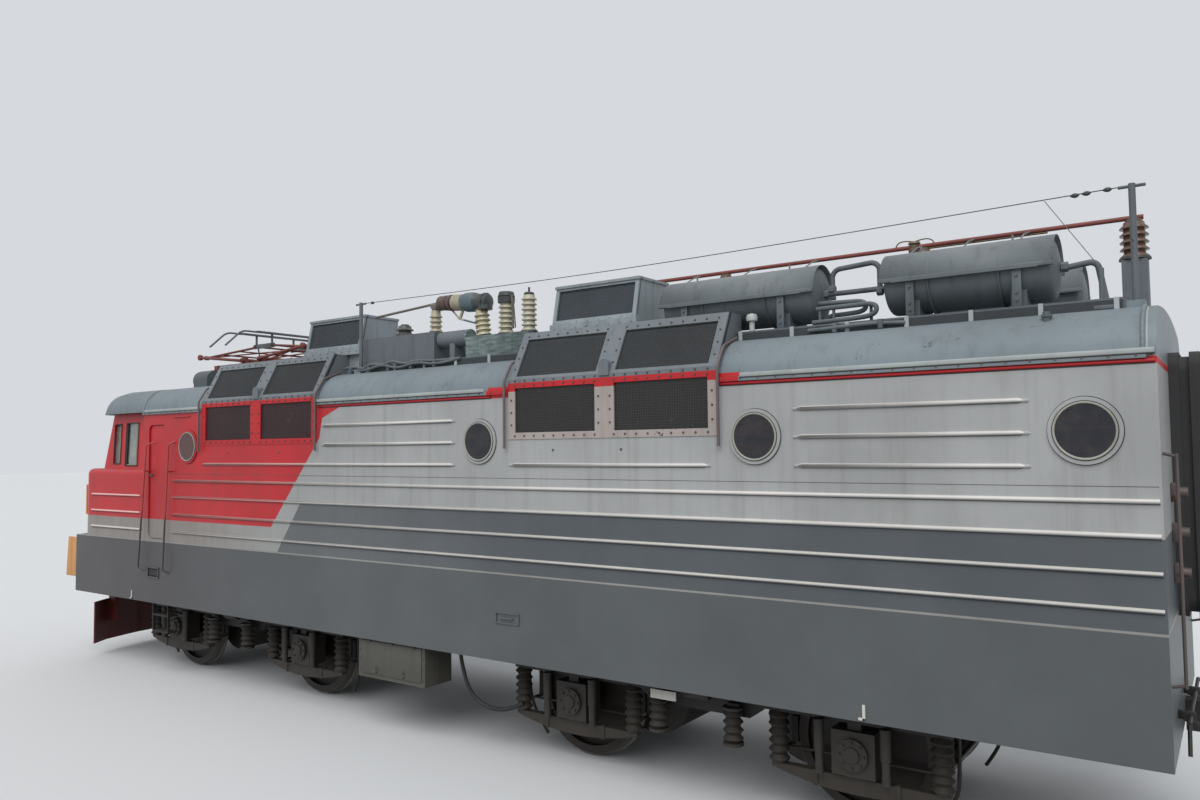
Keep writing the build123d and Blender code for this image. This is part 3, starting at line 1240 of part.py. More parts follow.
# Handrails beside the side doors: x at the top, x at the foot, and the turn of their ends.
RAIL_RADIUS = 13
RAIL_Y = HALF_WIDTH + 70
RAIL_TOP = 3400
RAIL_FOOT = 1520
RAIL_BRACKET = 3010
RAIL_RISE = 50
RAIL_BEND = 40
RAILS = [(5350, 5530, -110), (4735, 4850, -60)]
with BuildPart() as handrails:
    for top_x, foot_x, turn in RAILS:
        share = (RAIL_TOP - RAIL_BRACKET) / (RAIL_TOP - RAIL_FOOT)
        bracket_x = top_x + (foot_x - top_x) * share
        for side in (1, -1):
            pipe([
                (top_x + turn, side * (HALF_WIDTH - RAIL_RADIUS), RAIL_TOP + RAIL_RISE),
                (top_x, side * RAIL_Y, RAIL_TOP),
                (foot_x, side * RAIL_Y, RAIL_FOOT + RAIL_RISE),
                (foot_x + turn, side * (HALF_WIDTH - RAIL_RADIUS), RAIL_FOOT),
            ], RAIL_RADIUS, RAIL_BEND)
            rod((bracket_x, side * HALF_WIDTH, RAIL_BRACKET), (bracket_x, side * RAIL_Y, RAIL_BRACKET), RAIL_RADIUS)
    block(0, HALF_LENGTH, -HALF_WIDTH, HALF_WIDTH, SKIRT_BOTTOM, WALL_TOP, mode=Mode.SUBTRACT)
finish(handrails, "handrails")

# Rain pipes at the ends of the roof sections: over the shoulder and down the wall.
DRAIN_X = [4012, 1409, -1727, -4250]
DRAIN_RADIUS = 14
DRAIN_FOOT = 3285
# The route of a pipe in Y and Z, from its foot up to the roof.
DRAIN_ROUTE = [
    (HALF_WIDTH + GUTTER_PROUD + DRAIN_RADIUS, DRAIN_FOOT),
    (HALF_WIDTH + GUTTER_PROUD + DRAIN_RADIUS, 4000),
    (1500, 4190),
    (1230, 4290),
]
with BuildPart() as drain_pipes:
    for x in DRAIN_X:
        for side in (1, -1):
            pipe([(x, side * y, z) for y, z in DRAIN_ROUTE], DRAIN_RADIUS, 110)
finish(drain_pipes, "drain_pipes")

# Entrance steps hung from the sills below the side doors.
STEP_WIDTH = 420
STEP_HEIGHTS = [620, 860]
STEP_THICK = 25
STEP_OUT = 20
STEP_TREAD = 160
STRINGER = 40
STRINGER_THICK = 20
with BuildPart() as steps:
    centre = (DOOR_FRONT + DOOR_REAR) / 2
    for side in (1, -1):
        outer = side * (INNER_HALF - STEP_OUT)
        for z in STEP_HEIGHTS:
            block(centre - STEP_WIDTH / 2, centre + STEP_WIDTH / 2, outer - side * STEP_TREAD, outer, z, z + STEP_THICK)
        for end in (1, -1):
            x = centre + end * STEP_WIDTH / 2
            block(x, x - end * STRINGER_THICK, outer - side * STRINGER, outer, STEP_HEIGHTS[0], SILL_BOTTOM)
finish(steps, "steps")

# Portholes: a bezel on the wall with the glass behind it.
BEZEL_PROUD = 18
PANE_DEPTH = 16
with BuildPart() as portholes:
    for x in PORTHOLE_X:
        for side in (1, -1):
            wall = side * HALF_WIDTH
            outer = wall + side * BEZEL_PROUD
            back = wall - side * PANE_DEPTH
            rod((x, wall, PORTHOLE_Z), (x, outer, PORTHOLE_Z), PORTHOLE_RING)
            rod((x, back, PORTHOLE_Z), (x, outer + side * PANE_DEPTH, PORTHOLE_Z), PORTHOLE_GLASS - PORTHOLE_LIP,
                mode=Mode.SUBTRACT)
            rod((x, back, PORTHOLE_Z), (x, wall, PORTHOLE_Z), PORTHOLE_GLASS)
finish(portholes, "portholes")
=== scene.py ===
"""The looks of a single-cab freight electric locomotive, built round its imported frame, in metres."""
import math

import bmesh
import bpy
from mathutils import Matrix, Vector


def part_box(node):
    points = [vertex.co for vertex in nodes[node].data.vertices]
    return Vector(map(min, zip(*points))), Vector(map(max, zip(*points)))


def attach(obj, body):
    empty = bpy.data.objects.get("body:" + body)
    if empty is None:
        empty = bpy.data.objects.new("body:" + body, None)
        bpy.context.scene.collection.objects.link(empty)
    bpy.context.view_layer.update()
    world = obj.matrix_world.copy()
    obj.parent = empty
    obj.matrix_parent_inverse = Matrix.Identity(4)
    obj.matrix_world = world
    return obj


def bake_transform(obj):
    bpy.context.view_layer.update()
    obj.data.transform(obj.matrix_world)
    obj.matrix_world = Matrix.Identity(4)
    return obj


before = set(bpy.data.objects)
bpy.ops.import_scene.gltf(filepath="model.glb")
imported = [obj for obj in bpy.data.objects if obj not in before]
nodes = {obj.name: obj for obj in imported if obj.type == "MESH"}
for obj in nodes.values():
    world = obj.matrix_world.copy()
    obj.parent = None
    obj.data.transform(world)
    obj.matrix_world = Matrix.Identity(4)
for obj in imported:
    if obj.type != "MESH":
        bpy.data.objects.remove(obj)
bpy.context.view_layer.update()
scene = bpy.context.scene

# Viewpoint. The camera stands beside the rear half, a little above head height, and looks forward
# along the side, tipped slightly up. The heading turns from straight across the body towards the
# cab, and the horizon rises a little to the right.
camera_place = Vector((-8.046, 8.8166, 3.2758))
heading = math.radians(35.2289)
pitch = math.radians(3.0683)
tilt = math.radians(0.6185)
forward = Vector((math.sin(heading) * math.cos(pitch), -math.cos(heading) * math.cos(pitch), math.sin(pitch)))
level_right = Vector((-math.cos(heading), -math.sin(heading), 0))
level_up = level_right.cross(forward)
right = level_right * math.cos(tilt) - level_up * math.sin(tilt)
up = level_up * math.cos(tilt) + level_right * math.sin(tilt)
camera_data = bpy.data.cameras.new("camera")
camera_data.sensor_width = 36
camera_data.lens = 27.157
camera_data.clip_end = 500
camera = bpy.data.objects.new("camera", camera_data)
camera.matrix_world = Matrix.Translation(camera_place) @ Matrix((right, up, -forward)).transposed().to_4x4()
scene.collection.objects.link(camera)
scene.camera = camera


# Studio. A pale floor under the wheels and an even pale sky, with one broad soft lamp high on the
# open side, so that the roof reads lighter than the walls as under thin cloud. The floor is seen
# paler than it is to the light that it throws back.
def node(tree, kind, inputs=(), **settings):
    """A shader node with its settings made and its sockets set to values or linked to other sockets."""
    made = tree.nodes.new(kind)
    for key, value in settings.items():
        setattr(made, key, value)
    for socket, value in dict(inputs).items():
        if isinstance(value, bpy.types.NodeSocket):
            tree.links.new(value, made.inputs[socket])
        else:
            made.inputs[socket].default_value = value
    return made


def calculate(tree, operation, *values):
    """The output of one maths node on values or sockets."""
    return node(tree, "ShaderNodeMath", dict(enumerate(values)), operation=operation).outputs[0]


def times(tree, first, second):
    """The product of two values or sockets."""
    return calculate(tree, "MULTIPLY", first, second)


def plus(tree, first, second):
    """The sum of two values or sockets."""
    return calculate(tree, "ADD", first, second)


def minus(tree, first, second):
    """The first value or socket less the second."""
    return calculate(tree, "SUBTRACT", first, second)


def paint(colour):
    """A colour socket as it is, or screen values from 0 to 255 made linear."""
    if isinstance(colour, bpy.types.NodeSocket):
        return colour
    return (*(((part / 255 + 0.055) / 1.055) ** 2.4 for part in colour), 1)


def mix_colours(tree, share, first, second):
    """The output of one colour mix; the share runs from the first colour to the second."""
    inputs = {0: share, 6: paint(first), 7: paint(second)}
    return node(tree, "ShaderNodeMix", inputs, data_type="RGBA").outputs[2]


def object_place(tree):
    """Where a point of the surface lies on the object."""
    return node(tree, "ShaderNodeTexCoord").outputs["Object"]


def axes_of(tree, vector):
    """The X, Y and Z sockets of a vector."""
    return node(tree, "ShaderNodeSeparateXYZ", {0: vector}).outputs


def new_material(name):
    """An empty node material with its output node."""
    material = bpy.data.materials.new(name)
    material.use_nodes = True
    material.node_tree.nodes.clear()
    return material, material.node_tree, node(material.node_tree, "ShaderNodeOutputMaterial")


def surface(tree, output, inputs):
    """A principled shader led to the output of a material."""
    shader = node(tree, "ShaderNodeBsdfPrincipled", inputs)
    tree.links.new(shader.outputs[0], output.inputs[0])


def seen_rays(tree):
    """Mask of the rays that reach the eye straight, by a mirror or through glass."""
    ray = node(tree, "ShaderNodeLightPath")
    seen = calculate(tree, "MAXIMUM", ray.outputs["Is Camera Ray"], ray.outputs["Is Glossy Ray"])
    return calculate(tree, "MAXIMUM", seen, ray.outputs["Is Transmission Ray"])


FLOOR_HALF = 160
THROWN_TONE = (134, 130, 126)
floor_shape = bmesh.new()
bmesh.ops.create_grid(floor_shape, x_segments=1, y_segments=1, size=FLOOR_HALF)
floor_mesh = bpy.data.meshes.new("floor")
floor_shape.to_mesh(floor_mesh)
floor_shape.free()
floor = bpy.data.objects.new("floor", floor_mesh)
scene.collection.objects.link(floor)
material, tree, output = new_material("floor_finish")
floor_grain = node(tree, "ShaderNodeTexNoise", {"Scale": 0.7, "Detail": 4})
floor_tone = mix_colours(tree, floor_grain.outputs["Fac"], (205, 206, 207), (216, 217, 218))
floor_tone = mix_colours(tree, seen_rays(tree), THROWN_TONE, floor_tone)
surface(tree, output, {"Base Color": floor_tone, "Roughness": 0.9})
floor_mesh.materials.append(material)

world = bpy.data.worlds.new("sky")
scene.world = world
world.use_nodes = True
tree = world.node_tree
tree.nodes.clear()
SKY_LIGHT = 0.7
sky_light = node(tree, "ShaderNodeBackground", {"Color": (0.94, 0.97, 1, 1), "Strength": SKY_LIGHT})
sky_seen = node(tree, "ShaderNodeBackground", {"Color": paint((214, 217, 222)), "Strength": 1})
sky = node(tree, "ShaderNodeMixShader", {0: seen_rays(tree), 1: sky_light.outputs[0], 2: sky_seen.outputs[0]})
node(tree, "ShaderNodeOutputWorld", {0: sky.outputs[0]})

lamp_data = bpy.data.lights.new("broad_lamp", "SUN")
lamp_data.energy = 1.75
lamp_data.angle = math.radians(50)
lamp = bpy.data.objects.new("broad_lamp", lamp_data)
lamp.rotation_euler = (math.radians(-38), math.radians(-14), 0)
scene.collection.objects.link(lamp)
scene.view_settings.view_transform = "Standard"


# Wheelsets. Rolled steel wheels pressed on a forged axle. The treads are polished by rolling, the
# rims stay bare and the webs are brown with brake dust and rust. Turned as one body with the axle.
def new_group(name, inputs, outputs):
    """A shader group with named sockets, what is given to it and what it puts out."""
    group = bpy.data.node_groups.new(name, "ShaderNodeTree")
    for label, kind, value in inputs:
        socket = group.interface.new_socket(name=label, in_out="INPUT", socket_type=kind)
        socket.default_value = value
    for label, kind in outputs:
        group.interface.new_socket(name=label, in_out="OUTPUT", socket_type=kind)
    return group, node(group, "NodeGroupInput").outputs, node(group, "NodeGroupOutput").inputs


NUMBER = "NodeSocketFloat"
COLOUR = "NodeSocketColor"


def noise_of(tree, place, scale, detail=3.0, rough=0.55):
    """The value of one noise texture read at a place."""
    inputs = {"Vector": place, "Scale": scale, "Detail": detail, "Roughness": rough}
    return node(tree, "ShaderNodeTexNoise", inputs).outputs["Fac"]


def ramp_of(tree, value, low, high, out_low=0.0, out_high=1.0):
    """A value stretched between two limits, with soft ends."""
    inputs = {0: value, 1: low, 2: high, 3: out_low, 4: out_high}
    return node(tree, "ShaderNodeMapRange", inputs, interpolation_type="SMOOTHSTEP").outputs[0]


# The weathering that every painted or bare surface shares: clouded fading, grime in vertical runs,
# dust lying on what faces up and small chips down to the colour of the grime.
weathering, given, out = new_group(
    "weathering",
    [
        ("Colour", COLOUR, (0.5, 0.5, 0.5, 1)),
        ("Grime Colour", COLOUR, (0.1, 0.09, 0.08, 1)),
        ("Dust Colour", COLOUR, (0.3, 0.27, 0.23, 1)),
        ("Fading", NUMBER, 0.15),
        ("Runs", NUMBER, 0.3),
        ("Dust", NUMBER, 0.3),
        ("Chips", NUMBER, 0.1),
        ("Gloss", NUMBER, 0.45),
    ],
    [("Colour", COLOUR), ("Roughness", NUMBER), ("Height", NUMBER)],
)
tree = weathering
place = object_place(tree)
cloud = noise_of(tree, place, 0.9, 5)
runs_place = node(tree, "ShaderNodeMapping", {"Vector": place, "Scale": (6, 6, 0.35)}).outputs[0]
runs = ramp_of(tree, noise_of(tree, runs_place, 1.6, 6, 0.65), 0.46, 0.78)
speckle = noise_of(tree, place, 38, 2)
patches = noise_of(tree, place, 3.1, 6, 0.7)
facing_up = axes_of(tree, node(tree, "ShaderNodeNewGeometry").outputs["Normal"])["Z"]
upward = ramp_of(tree, facing_up, 0.35, 0.95)
fade = times(tree, ramp_of(tree, cloud, 0.3, 0.7, -1, 1), given["Fading"])
faded = {"Value": plus(tree, 1, fade), "Color": given["Colour"]}
shaded = node(tree, "ShaderNodeHueSaturation", faded).outputs[0]
run_share = times(tree, runs, given["Runs"])
grimed = mix_colours(tree, run_share, shaded, given["Grime Colour"])
dust_cloud = ramp_of(tree, patches, 0.3, 0.7, 0.35, 1)
dust_share = times(tree, times(tree, upward, dust_cloud), given["Dust"])
dusted = mix_colours(tree, dust_share, grimed, given["Dust Colour"])
chip_edge = minus(tree, 0.72, times(tree, given["Chips"], 0.22))
spots = plus(tree, patches, times(tree, minus(tree, speckle, 0.5), 0.35))
chip = calculate(tree, "GREATER_THAN", spots, chip_edge)
chip_share = times(tree, chip, ramp_of(tree, given["Chips"], 0, 0.1))
chipped = mix_colours(tree, chip_share, dusted, given["Grime Colour"])
tree.links.new(chipped, out["Colour"])
rough = plus(tree, given["Gloss"], times(tree, dust_share, 0.4))
rough = plus(tree, rough, times(tree, run_share, 0.3))
rough = plus(tree, rough, times(tree, minus(tree, speckle, 0.5), 0.12))
tree.links.new(rough, out["Roughness"])
height = minus(tree, times(tree, speckle, 0.3), times(tree, chip_share, 0.5))
height = plus(tree, height, times(tree, cloud, 0.5))
tree.links.new(height, out["Height"])


def weathered(name, colour, grime, dust, fading=0.12, runs=0.3, settled=0.3, chips=0.1, gloss=0.5,
              metallic=0.0, bump=0.12):
    """A material on the weathering group. The colour may be a function that builds it in the tree."""
    material, tree, output = new_material(name)
    base = colour(tree) if callable(colour) else colour
    inputs = {"Colour": paint(base), "Grime Colour": paint(grime), "Dust Colour": paint(dust),
              "Fading": fading, "Runs": runs, "Dust": settled, "Chips": chips, "Gloss": gloss}
    finish = node(tree, "ShaderNodeGroup", inputs, node_tree=weathering)
    relief = {"Height": finish.outputs["Height"], "Strength": bump, "Distance": 0.01}
    surface(tree, output, {
        "Base Color": finish.outputs["Colour"],
        "Roughness": finish.outputs["Roughness"],
        "Metallic": metallic,
        "Normal": node(tree, "ShaderNodeBump", relief).outputs[0],
    })
    return material


def dress(material, *names):
    """Give the CAD nodes their finish."""
    for name in names:
        nodes[name].data.materials.clear()
        nodes[name].data.materials.append(material)


WHEEL_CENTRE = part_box("wheelset_1")[1].z / 2
TREAD_RADIUS = 0.625
RIM_INNER = 0.535
BROWN_DUST = (60, 53, 46)
SOOT = (34, 33, 33)


def wheel_colour(axle_x):
    """Rusty web, bare rim and bright tread, by distance from the axle."""
    def build(tree):
        x, _, z = axes_of(tree, object_place(tree))
        across, rise = minus(tree, x, axle_x), minus(tree, z, WHEEL_CENTRE)
        squares = plus(tree, calculate(tree, "POWER", across, 2), calculate(tree, "POWER", rise, 2))
        radius = calculate(tree, "SQRT", squares)
        rim = ramp_of(tree, radius, RIM_INNER - 0.01, RIM_INNER + 0.012)
        tread = ramp_of(tree, radius, TREAD_RADIUS - 0.012, TREAD_RADIUS - 0.004)
        tone = mix_colours(tree, rim, (38, 33, 30), (52, 48, 45))
        return mix_colours(tree, tread, tone, (112, 109, 106))
    return build


for number in range(1, 5):
    low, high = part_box(f"wheelset_{number}")
    wheel_steel = weathered(f"wheel_steel_{number}", wheel_colour((low.x + high.x) / 2), (58, 40, 30),
                            BROWN_DUST, runs=0.1, settled=0.5, chips=0.0, gloss=0.5, metallic=0.4)
    dress(wheel_steel, f"wheelset_{number}")


# Bogies. Cast and welded steel frames with leaf and coil springs, black paint long gone under oil,
# brake dust and brown splash that thickens towards the bottom.
UNDERGEAR_LOW = 0.25
UNDERGEAR_HIGH = 1.15


def splashed(top_colour, splash_colour):
    """A base colour that turns to brown splash lower down."""
    def build(tree):
        place = object_place(tree)
        height = axes_of(tree, place)["Z"]
        rough_edge = times(tree, minus(tree, noise_of(tree, place, 4, 5), 0.5), 0.5)
        share = ramp_of(tree, plus(tree, height, rough_edge), UNDERGEAR_LOW, UNDERGEAR_HIGH, 0.85, 0.1)
        return mix_colours(tree, share, top_colour, splash_colour)
    return build


undergear_paint = weathered("undergear_paint", splashed((27, 27, 27), (40, 36, 31)), SOOT, BROWN_DUST,
                            runs=0.35, settled=0.65, chips=0.15, gloss=0.62, bump=0.3)
motor_paint = weathered("motor_paint", splashed((30, 30, 30), (42, 37, 32)), SOOT, BROWN_DUST, runs=0.3,
                        settled=0.6, chips=0.05, gloss=0.6, bump=0.3)
dress(undergear_paint, "bogie_front", "bogie_rear", "brakes_front", "brakes_rear", "main_frame",
      "cross_bearers", "underframe", "steps", "couplers")
dress(motor_paint, "motors_front", "motors_rear")
spring_paint = weathered("spring_paint", splashed((40, 39, 37), (54, 48, 41)), SOOT, BROWN_DUST, runs=0.2,
                         settled=0.6, chips=0.1, gloss=0.6, bump=0.3)
dress(spring_paint, "springs_front", "springs_rear")


# Body shell. Ribbed steel sheet, painted in a red nose, a pale grey upper side with a blue-grey
# band, a dark grey skirt and a thin red line under the roof. The colours meet at slanted edges.
paint_edge, given, out = new_group(
    "paint_edge",
    [("X", NUMBER, 0), ("Z", NUMBER, 0), ("Edge X", NUMBER, 0), ("Edge Z", NUMBER, 0), ("Run", NUMBER, 0),
     ("Softness", NUMBER, 0.004)],
    [("Ahead", NUMBER)],
)
tree = paint_edge
rise = minus(tree, given["Z"], given["Edge Z"])
edge_x = plus(tree, given["Edge X"], times(tree, rise, given["Run"]))
ahead = minus(tree, given["X"], edge_x)
soft = given["Softness"]
tree.links.new(ramp_of(tree, ahead, times(tree, soft, -1), soft), out["Ahead"])


def ahead_of(tree, x, z, edge_x, edge_z, run=0.0):
    """Mask of what lies ahead of a slanted paint edge; run is metres of X for a metre of Z."""
    inputs = {"X": x, "Z": z, "Edge X": edge_x, "Edge Z": edge_z, "Run": run}
    return node(tree, "ShaderNodeGroup", inputs, node_tree=paint_edge).outputs["Ahead"]


def between(tree, value, low, high, softness=0.003):
    """Mask of a band between two values."""
    above = ramp_of(tree, value, low - softness, low + softness)
    below = ramp_of(tree, value, high - softness, high + softness, 1, 0)
    return times(tree, above, below)


LIVERY_RED = (190, 27, 36)
LIVERY_PALE = (166, 168, 168)
LIVERY_PALE_FRONT = (143, 137, 132)
LIVERY_BAND = (84, 90, 95)
LIVERY_BAND_FRONT = (102, 106, 109)
LIVERY_SKIRT = (87, 92, 94)
LIVERY_SKIRT_FRONT = (77, 76, 79)
LIVERY_LINE = (150, 150, 146)
ROOF_PALE = (117, 129, 135)
SKIRT_TOP = 1.969
RED_BOTTOM = 2.297
BAND_TOP = 2.617
RED_LINE_BOTTOM = 3.822
RED_LINE_TOP = 3.872


def livery_colour(tree):
    """The body colours by place along the side and height, the same on both sides."""
    x, _, z = axes_of(tree, object_place(tree))
    skirt = mix_colours(tree, ramp_of(tree, x, 1.5, 5.5), LIVERY_SKIRT, LIVERY_SKIRT_FRONT)
    tone = mix_colours(tree, between(tree, z, SKIRT_TOP - 0.006, SKIRT_TOP + 0.012), skirt, LIVERY_LINE)
    browned = times(tree, ramp_of(tree, x, 1.5, 4.5), ramp_of(tree, z, RED_BOTTOM, RED_BOTTOM + 0.4, 1, 0))
    pale = mix_colours(tree, browned, LIVERY_PALE, LIVERY_PALE_FRONT)
    tone = mix_colours(tree, ramp_of(tree, z, SKIRT_TOP + 0.009, SKIRT_TOP + 0.015), tone, pale)
    behind_stripe = minus(tree, 1, ahead_of(tree, x, z, 2.222, 1.98, -0.741))
    band = times(tree, between(tree, z, SKIRT_TOP + 0.012, BAND_TOP), behind_stripe)
    band_tone = mix_colours(tree, ramp_of(tree, x, -3, 2), LIVERY_BAND, LIVERY_BAND_FRONT)
    tone = mix_colours(tree, band, tone, band_tone)
    slant = ahead_of(tree, x, z, 2.354, 2.297, -0.854)
    upright = ahead_of(tree, x, z, 1.385, 3.40, -0.22)
    sweep = ahead_of(tree, x, z, 1.25, 3.72, -2.6)
    nose = times(tree, slant, upright)
    nose = calculate(tree, "MAXIMUM", nose, times(tree, sweep, ahead_of(tree, z, x, 3.6, 0)))
    nose = times(tree, nose, ramp_of(tree, z, RED_BOTTOM - 0.003, RED_BOTTOM + 0.003))
    line = between(tree, z, RED_LINE_BOTTOM, RED_LINE_TOP)
    group_top = times(tree, between(tree, x, -4.32, -1.47), ramp_of(tree, z, 3.872, 3.876))
    red = calculate(tree, "MAXIMUM", calculate(tree, "MAXIMUM", nose, line), group_top)
    tone = mix_colours(tree, red, tone, LIVERY_RED)
    roof_end = times(tree, calculate(tree, "LESS_THAN", x, -7.55), ramp_of(tree, z, 3.875, 3.88))
    return mix_colours(tree, roof_end, tone, ROOF_PALE)


body_paint = weathered("body_paint", livery_colour, (92, 88, 84), (120, 112, 102), fading=0.1, runs=0.22,
                       settled=0.35, chips=0.02, gloss=0.42, bump=0.1)
dress(body_paint, "side_wall_left", "side_wall_right", "cab_nose", "door_left", "door_right", "rear_wall",
      "gangway_door", "cab_upper", "door_hinges")


# Roof. Removable sections of sheet steel in pale blue-grey with a rolled gutter strip, streaked by rain
# and soot, with darker walkways, masts and pipes and a faded cover under the switch.
RED_STEPS = ((-1.76, -1.46), (-4.45, -4.2))
STEP_TOP = 3.94


def roof_colour(tree):
    """Pale roof paint, with the red of the wall carried up a step beside the intakes."""
    x, _, z = axes_of(tree, object_place(tree))
    tone = ROOF_PALE
    for rear, front in RED_STEPS:
        beside = between(tree, x, rear, front)
        below = ramp_of(tree, z, STEP_TOP - 0.002, STEP_TOP + 0.002, 1, 0)
        tone = mix_colours(tree, times(tree, beside, below), tone, LIVERY_RED)
    return tone


roof_paint = weathered("roof_paint", roof_colour, (88, 92, 92), (112, 116, 116), fading=0.12, runs=0.4,
                       settled=0.45, chips=0.08, gloss=0.5, bump=0.15)
deck_paint = weathered("deck_paint", (92, 99, 104), (56, 58, 60), (104, 104, 102), fading=0.16, runs=0.4,
                       settled=0.4, chips=0.12, gloss=0.55, bump=0.2)
dress(roof_paint, "roof_panels", "cab_roof")
dress(deck_paint, "air_pipes", "roof_walkways", "aerial_masts", "transformer")


def hood_colour(tree):
    """Grey equipment hoods, and the faded green-grey cover that the switch stands on."""
    place = object_place(tree)
    x = axes_of(tree, place)["X"]
    folds_place = node(tree, "ShaderNodeMapping", {"Vector": place, "Scale": (1.6, 2, 9)}).outputs[0]
    folds = ramp_of(tree, noise_of(tree, folds_place, 3.2, 6, 0.7), 0.35, 0.65)
    cover = mix_colours(tree, folds, (78, 92, 92), (122, 136, 135))
    return mix_colours(tree, between(tree, x, -1.7, -0.62), (98, 104, 110), cover)


hood_paint = weathered("hood_paint", hood_colour, (56, 60, 60), (112, 114, 112), fading=0.18, runs=0.45,
                       settled=0.4, chips=0.16, gloss=0.6, bump=0.5)
dress(hood_paint, "roof_fittings")
drain_paint = weathered("drain_paint", (104, 92, 92), (64, 50, 48), (108, 100, 96), runs=0.4, settled=0.3,
                        chips=0.2, gloss=0.5)
dress(drain_paint, "drain_pipes")


# High-voltage gear. The bus bar and the tube arms of the pantograph are steel under red-brown paint,
# which weather and sparks have worn. The pantograph head is grey.
bus_paint = weathered("bus_paint", (122, 62, 54), (70, 52, 44), (110, 92, 80), fading=0.2, runs=0.3,
                      settled=0.3, chips=0.25, gloss=0.55, bump=0.2)
dress(bus_paint, "hv_busbar", "panto_base", "panto_lower_front", "panto_lower_rear", "panto_upper_front",
      "panto_upper_rear")
dress(deck_paint, "panto_head")


# Small fittings. Steel handrails, lamp bodies and the pilot plate, the moulded rubber bellows of the
# gangway and the painted lining of the cab.
def by_height(edge, low_colour, high_colour, softness=0.05):
    """A base colour that changes at a height."""
    def build(tree):
        height = axes_of(tree, object_place(tree))["Z"]
        share = ramp_of(tree, height, edge - softness, edge + softness)
        return mix_colours(tree, share, low_colour, high_colour)
    return build


rail_paint = weathered("rail_paint", by_height(2.35, (70, 62, 60), (184, 66, 66), 0.1), (112, 100, 94),
                       (120, 104, 98), runs=0.25, settled=0.3, chips=0.15, gloss=0.4)
lamp_paint = weathered("lamp_paint", by_height(3.5, (150, 154, 156), (76, 84, 88)), (74, 76, 76),
                       (110, 108, 102), runs=0.4, settled=0.3, chips=0.1, gloss=0.45)
pilot_paint = weathered("pilot_paint", (88, 36, 34), (66, 48, 38), BROWN_DUST, runs=0.5, settled=0.5,
                        chips=0.35, gloss=0.55, bump=0.25)
bellows_rubber = weathered("bellows_rubber", (46, 46, 47), (30, 30, 30), (84, 80, 76), runs=0.3, settled=0.5,
                           chips=0.0, gloss=0.7)
lining = weathered("cab_lining", (150, 150, 138), (110, 106, 94), (120, 116, 104), runs=0.1, settled=0.1,
                   chips=0.0, gloss=0.5)
dress(rail_paint, "handrails")
dress(lamp_paint, "lamps")
dress(pilot_paint, "pilot")
dress(bellows_rubber, "gangway_bellows")
dress(lining, "cab_interior")


# Cab glass. Flat laminated panes held in rubber, filmed with a little dust that lets the dim cab show
# behind them. The pale film colour is partly dust and partly a painted reflection of the sky.
window_glass, tree, output = new_material("window_glass")
place = object_place(tree)
film = noise_of(tree, place, 2.6, 6, 0.65)
film_and_sky_reflection_tone = mix_colours(tree, ramp_of(tree, film, 0.35, 0.7), (112, 130, 128), (160, 162, 154))
surface(tree, output, {
    "Base Color": film_and_sky_reflection_tone,
    "Roughness": ramp_of(tree, film, 0.35, 0.75, 0.05, 0.3),
    "Alpha": ramp_of(tree, film, 0.3, 0.75, 0.22, 0.5),
    "IOR": 1.45,
})
dress(window_glass, "cab_windows")


# Lower intake screens. Flat steel frames bolted over the intakes in the wall, red ahead of the stripe
# and bare pale paint behind it, each holding a woven wire screen in front of a duct painted dark as shade.
INTAKE_GROUPS = ((3.982, 2.711, 1.439), (-1.757, -2.988, -4.22))
FRAME_EDGE = 0.089
PILLAR_HALF = 0.114
FRAME_FACE = 1.588
SCREEN_FACE = 1.572
BAY_BOTTOM = 3.45
BAY_TOP = 3.915
FRAME_BOTTOM = 3.38
FRAME_TOP = 3.97
WIRE_PITCH = 0.026
WIRE_RADIUS = 0.0019
BOLT_RADIUS = 0.011
BOLT_HEIGHT = 0.009
BOLT_GAPS = 8
SIDE_BOLT_SETBACK = 0.045
SIDE_BOLT_ROWS = (3.53, 3.66, 3.79)
EDGE_BOLT_ROWS = ((FRAME_BOTTOM + BAY_BOTTOM) / 2, (BAY_TOP + FRAME_TOP) / 2)
ALONG = Vector((1, 0, 0))


def add_rod(shape, start, end, radius, sides=12, tip=None):
    """A round bar between two points, tapered where a tip radius is given."""
    start, end = Vector(start), Vector(end)
    turn = (end - start).to_track_quat("Z", "Y").to_matrix().to_4x4()
    place = Matrix.Translation((start + end) / 2) @ turn
    bmesh.ops.create_cone(shape, cap_ends=True, segments=sides, radius1=radius,
                          radius2=radius if tip is None else tip, depth=(end - start).length, matrix=place)


def add_box(shape, low, high, bevel=0.0, turn=None):
    """A box between two corners, with rounded edges and a turn about its middle where they are given."""
    middle = (Vector(low) + Vector(high)) / 2
    made = bmesh.ops.create_cube(shape, size=1)["verts"]
    bmesh.ops.scale(shape, vec=Vector(high) - Vector(low), verts=made)
    if turn:
        bmesh.ops.rotate(shape, matrix=turn, verts=made)
    bmesh.ops.translate(shape, vec=middle, verts=made)
    if bevel:
        edges = list(dict.fromkeys(edge for vert in made for edge in vert.link_edges))
        bmesh.ops.bevel(shape, geom=edges, offset=bevel, segments=2, profile=0.5, affect="EDGES", material=-1)


def add_side_box(shape, side, low, high, bevel=0.0):
    """A box between two corners on the left side (1), or mirrored to the right side (-1)."""
    inner, outer = sorted((side * low[1], side * high[1]))
    add_box(shape, (low[0], inner, low[2]), (high[0], outer, high[2]), bevel)


def add_lathe(shape, origin, axis, profile, sides=24):
    """A form turned about an axis. The profile pairs a distance along the axis with a radius."""
    turn = Vector(axis).to_track_quat("Z", "Y").to_matrix().to_4x4()
    place = Matrix.Translation(Vector(origin)) @ turn
    ring = [shape.verts.new(place @ Vector((radius, 0, along))) for along, radius in profile]
    line = [shape.edges.new(pair) for pair in zip(ring, ring[1:])]
    bmesh.ops.spin(shape, geom=ring + line, cent=Vector(origin), axis=Vector(axis), angle=math.tau,
                   steps=sides, use_merge=True)


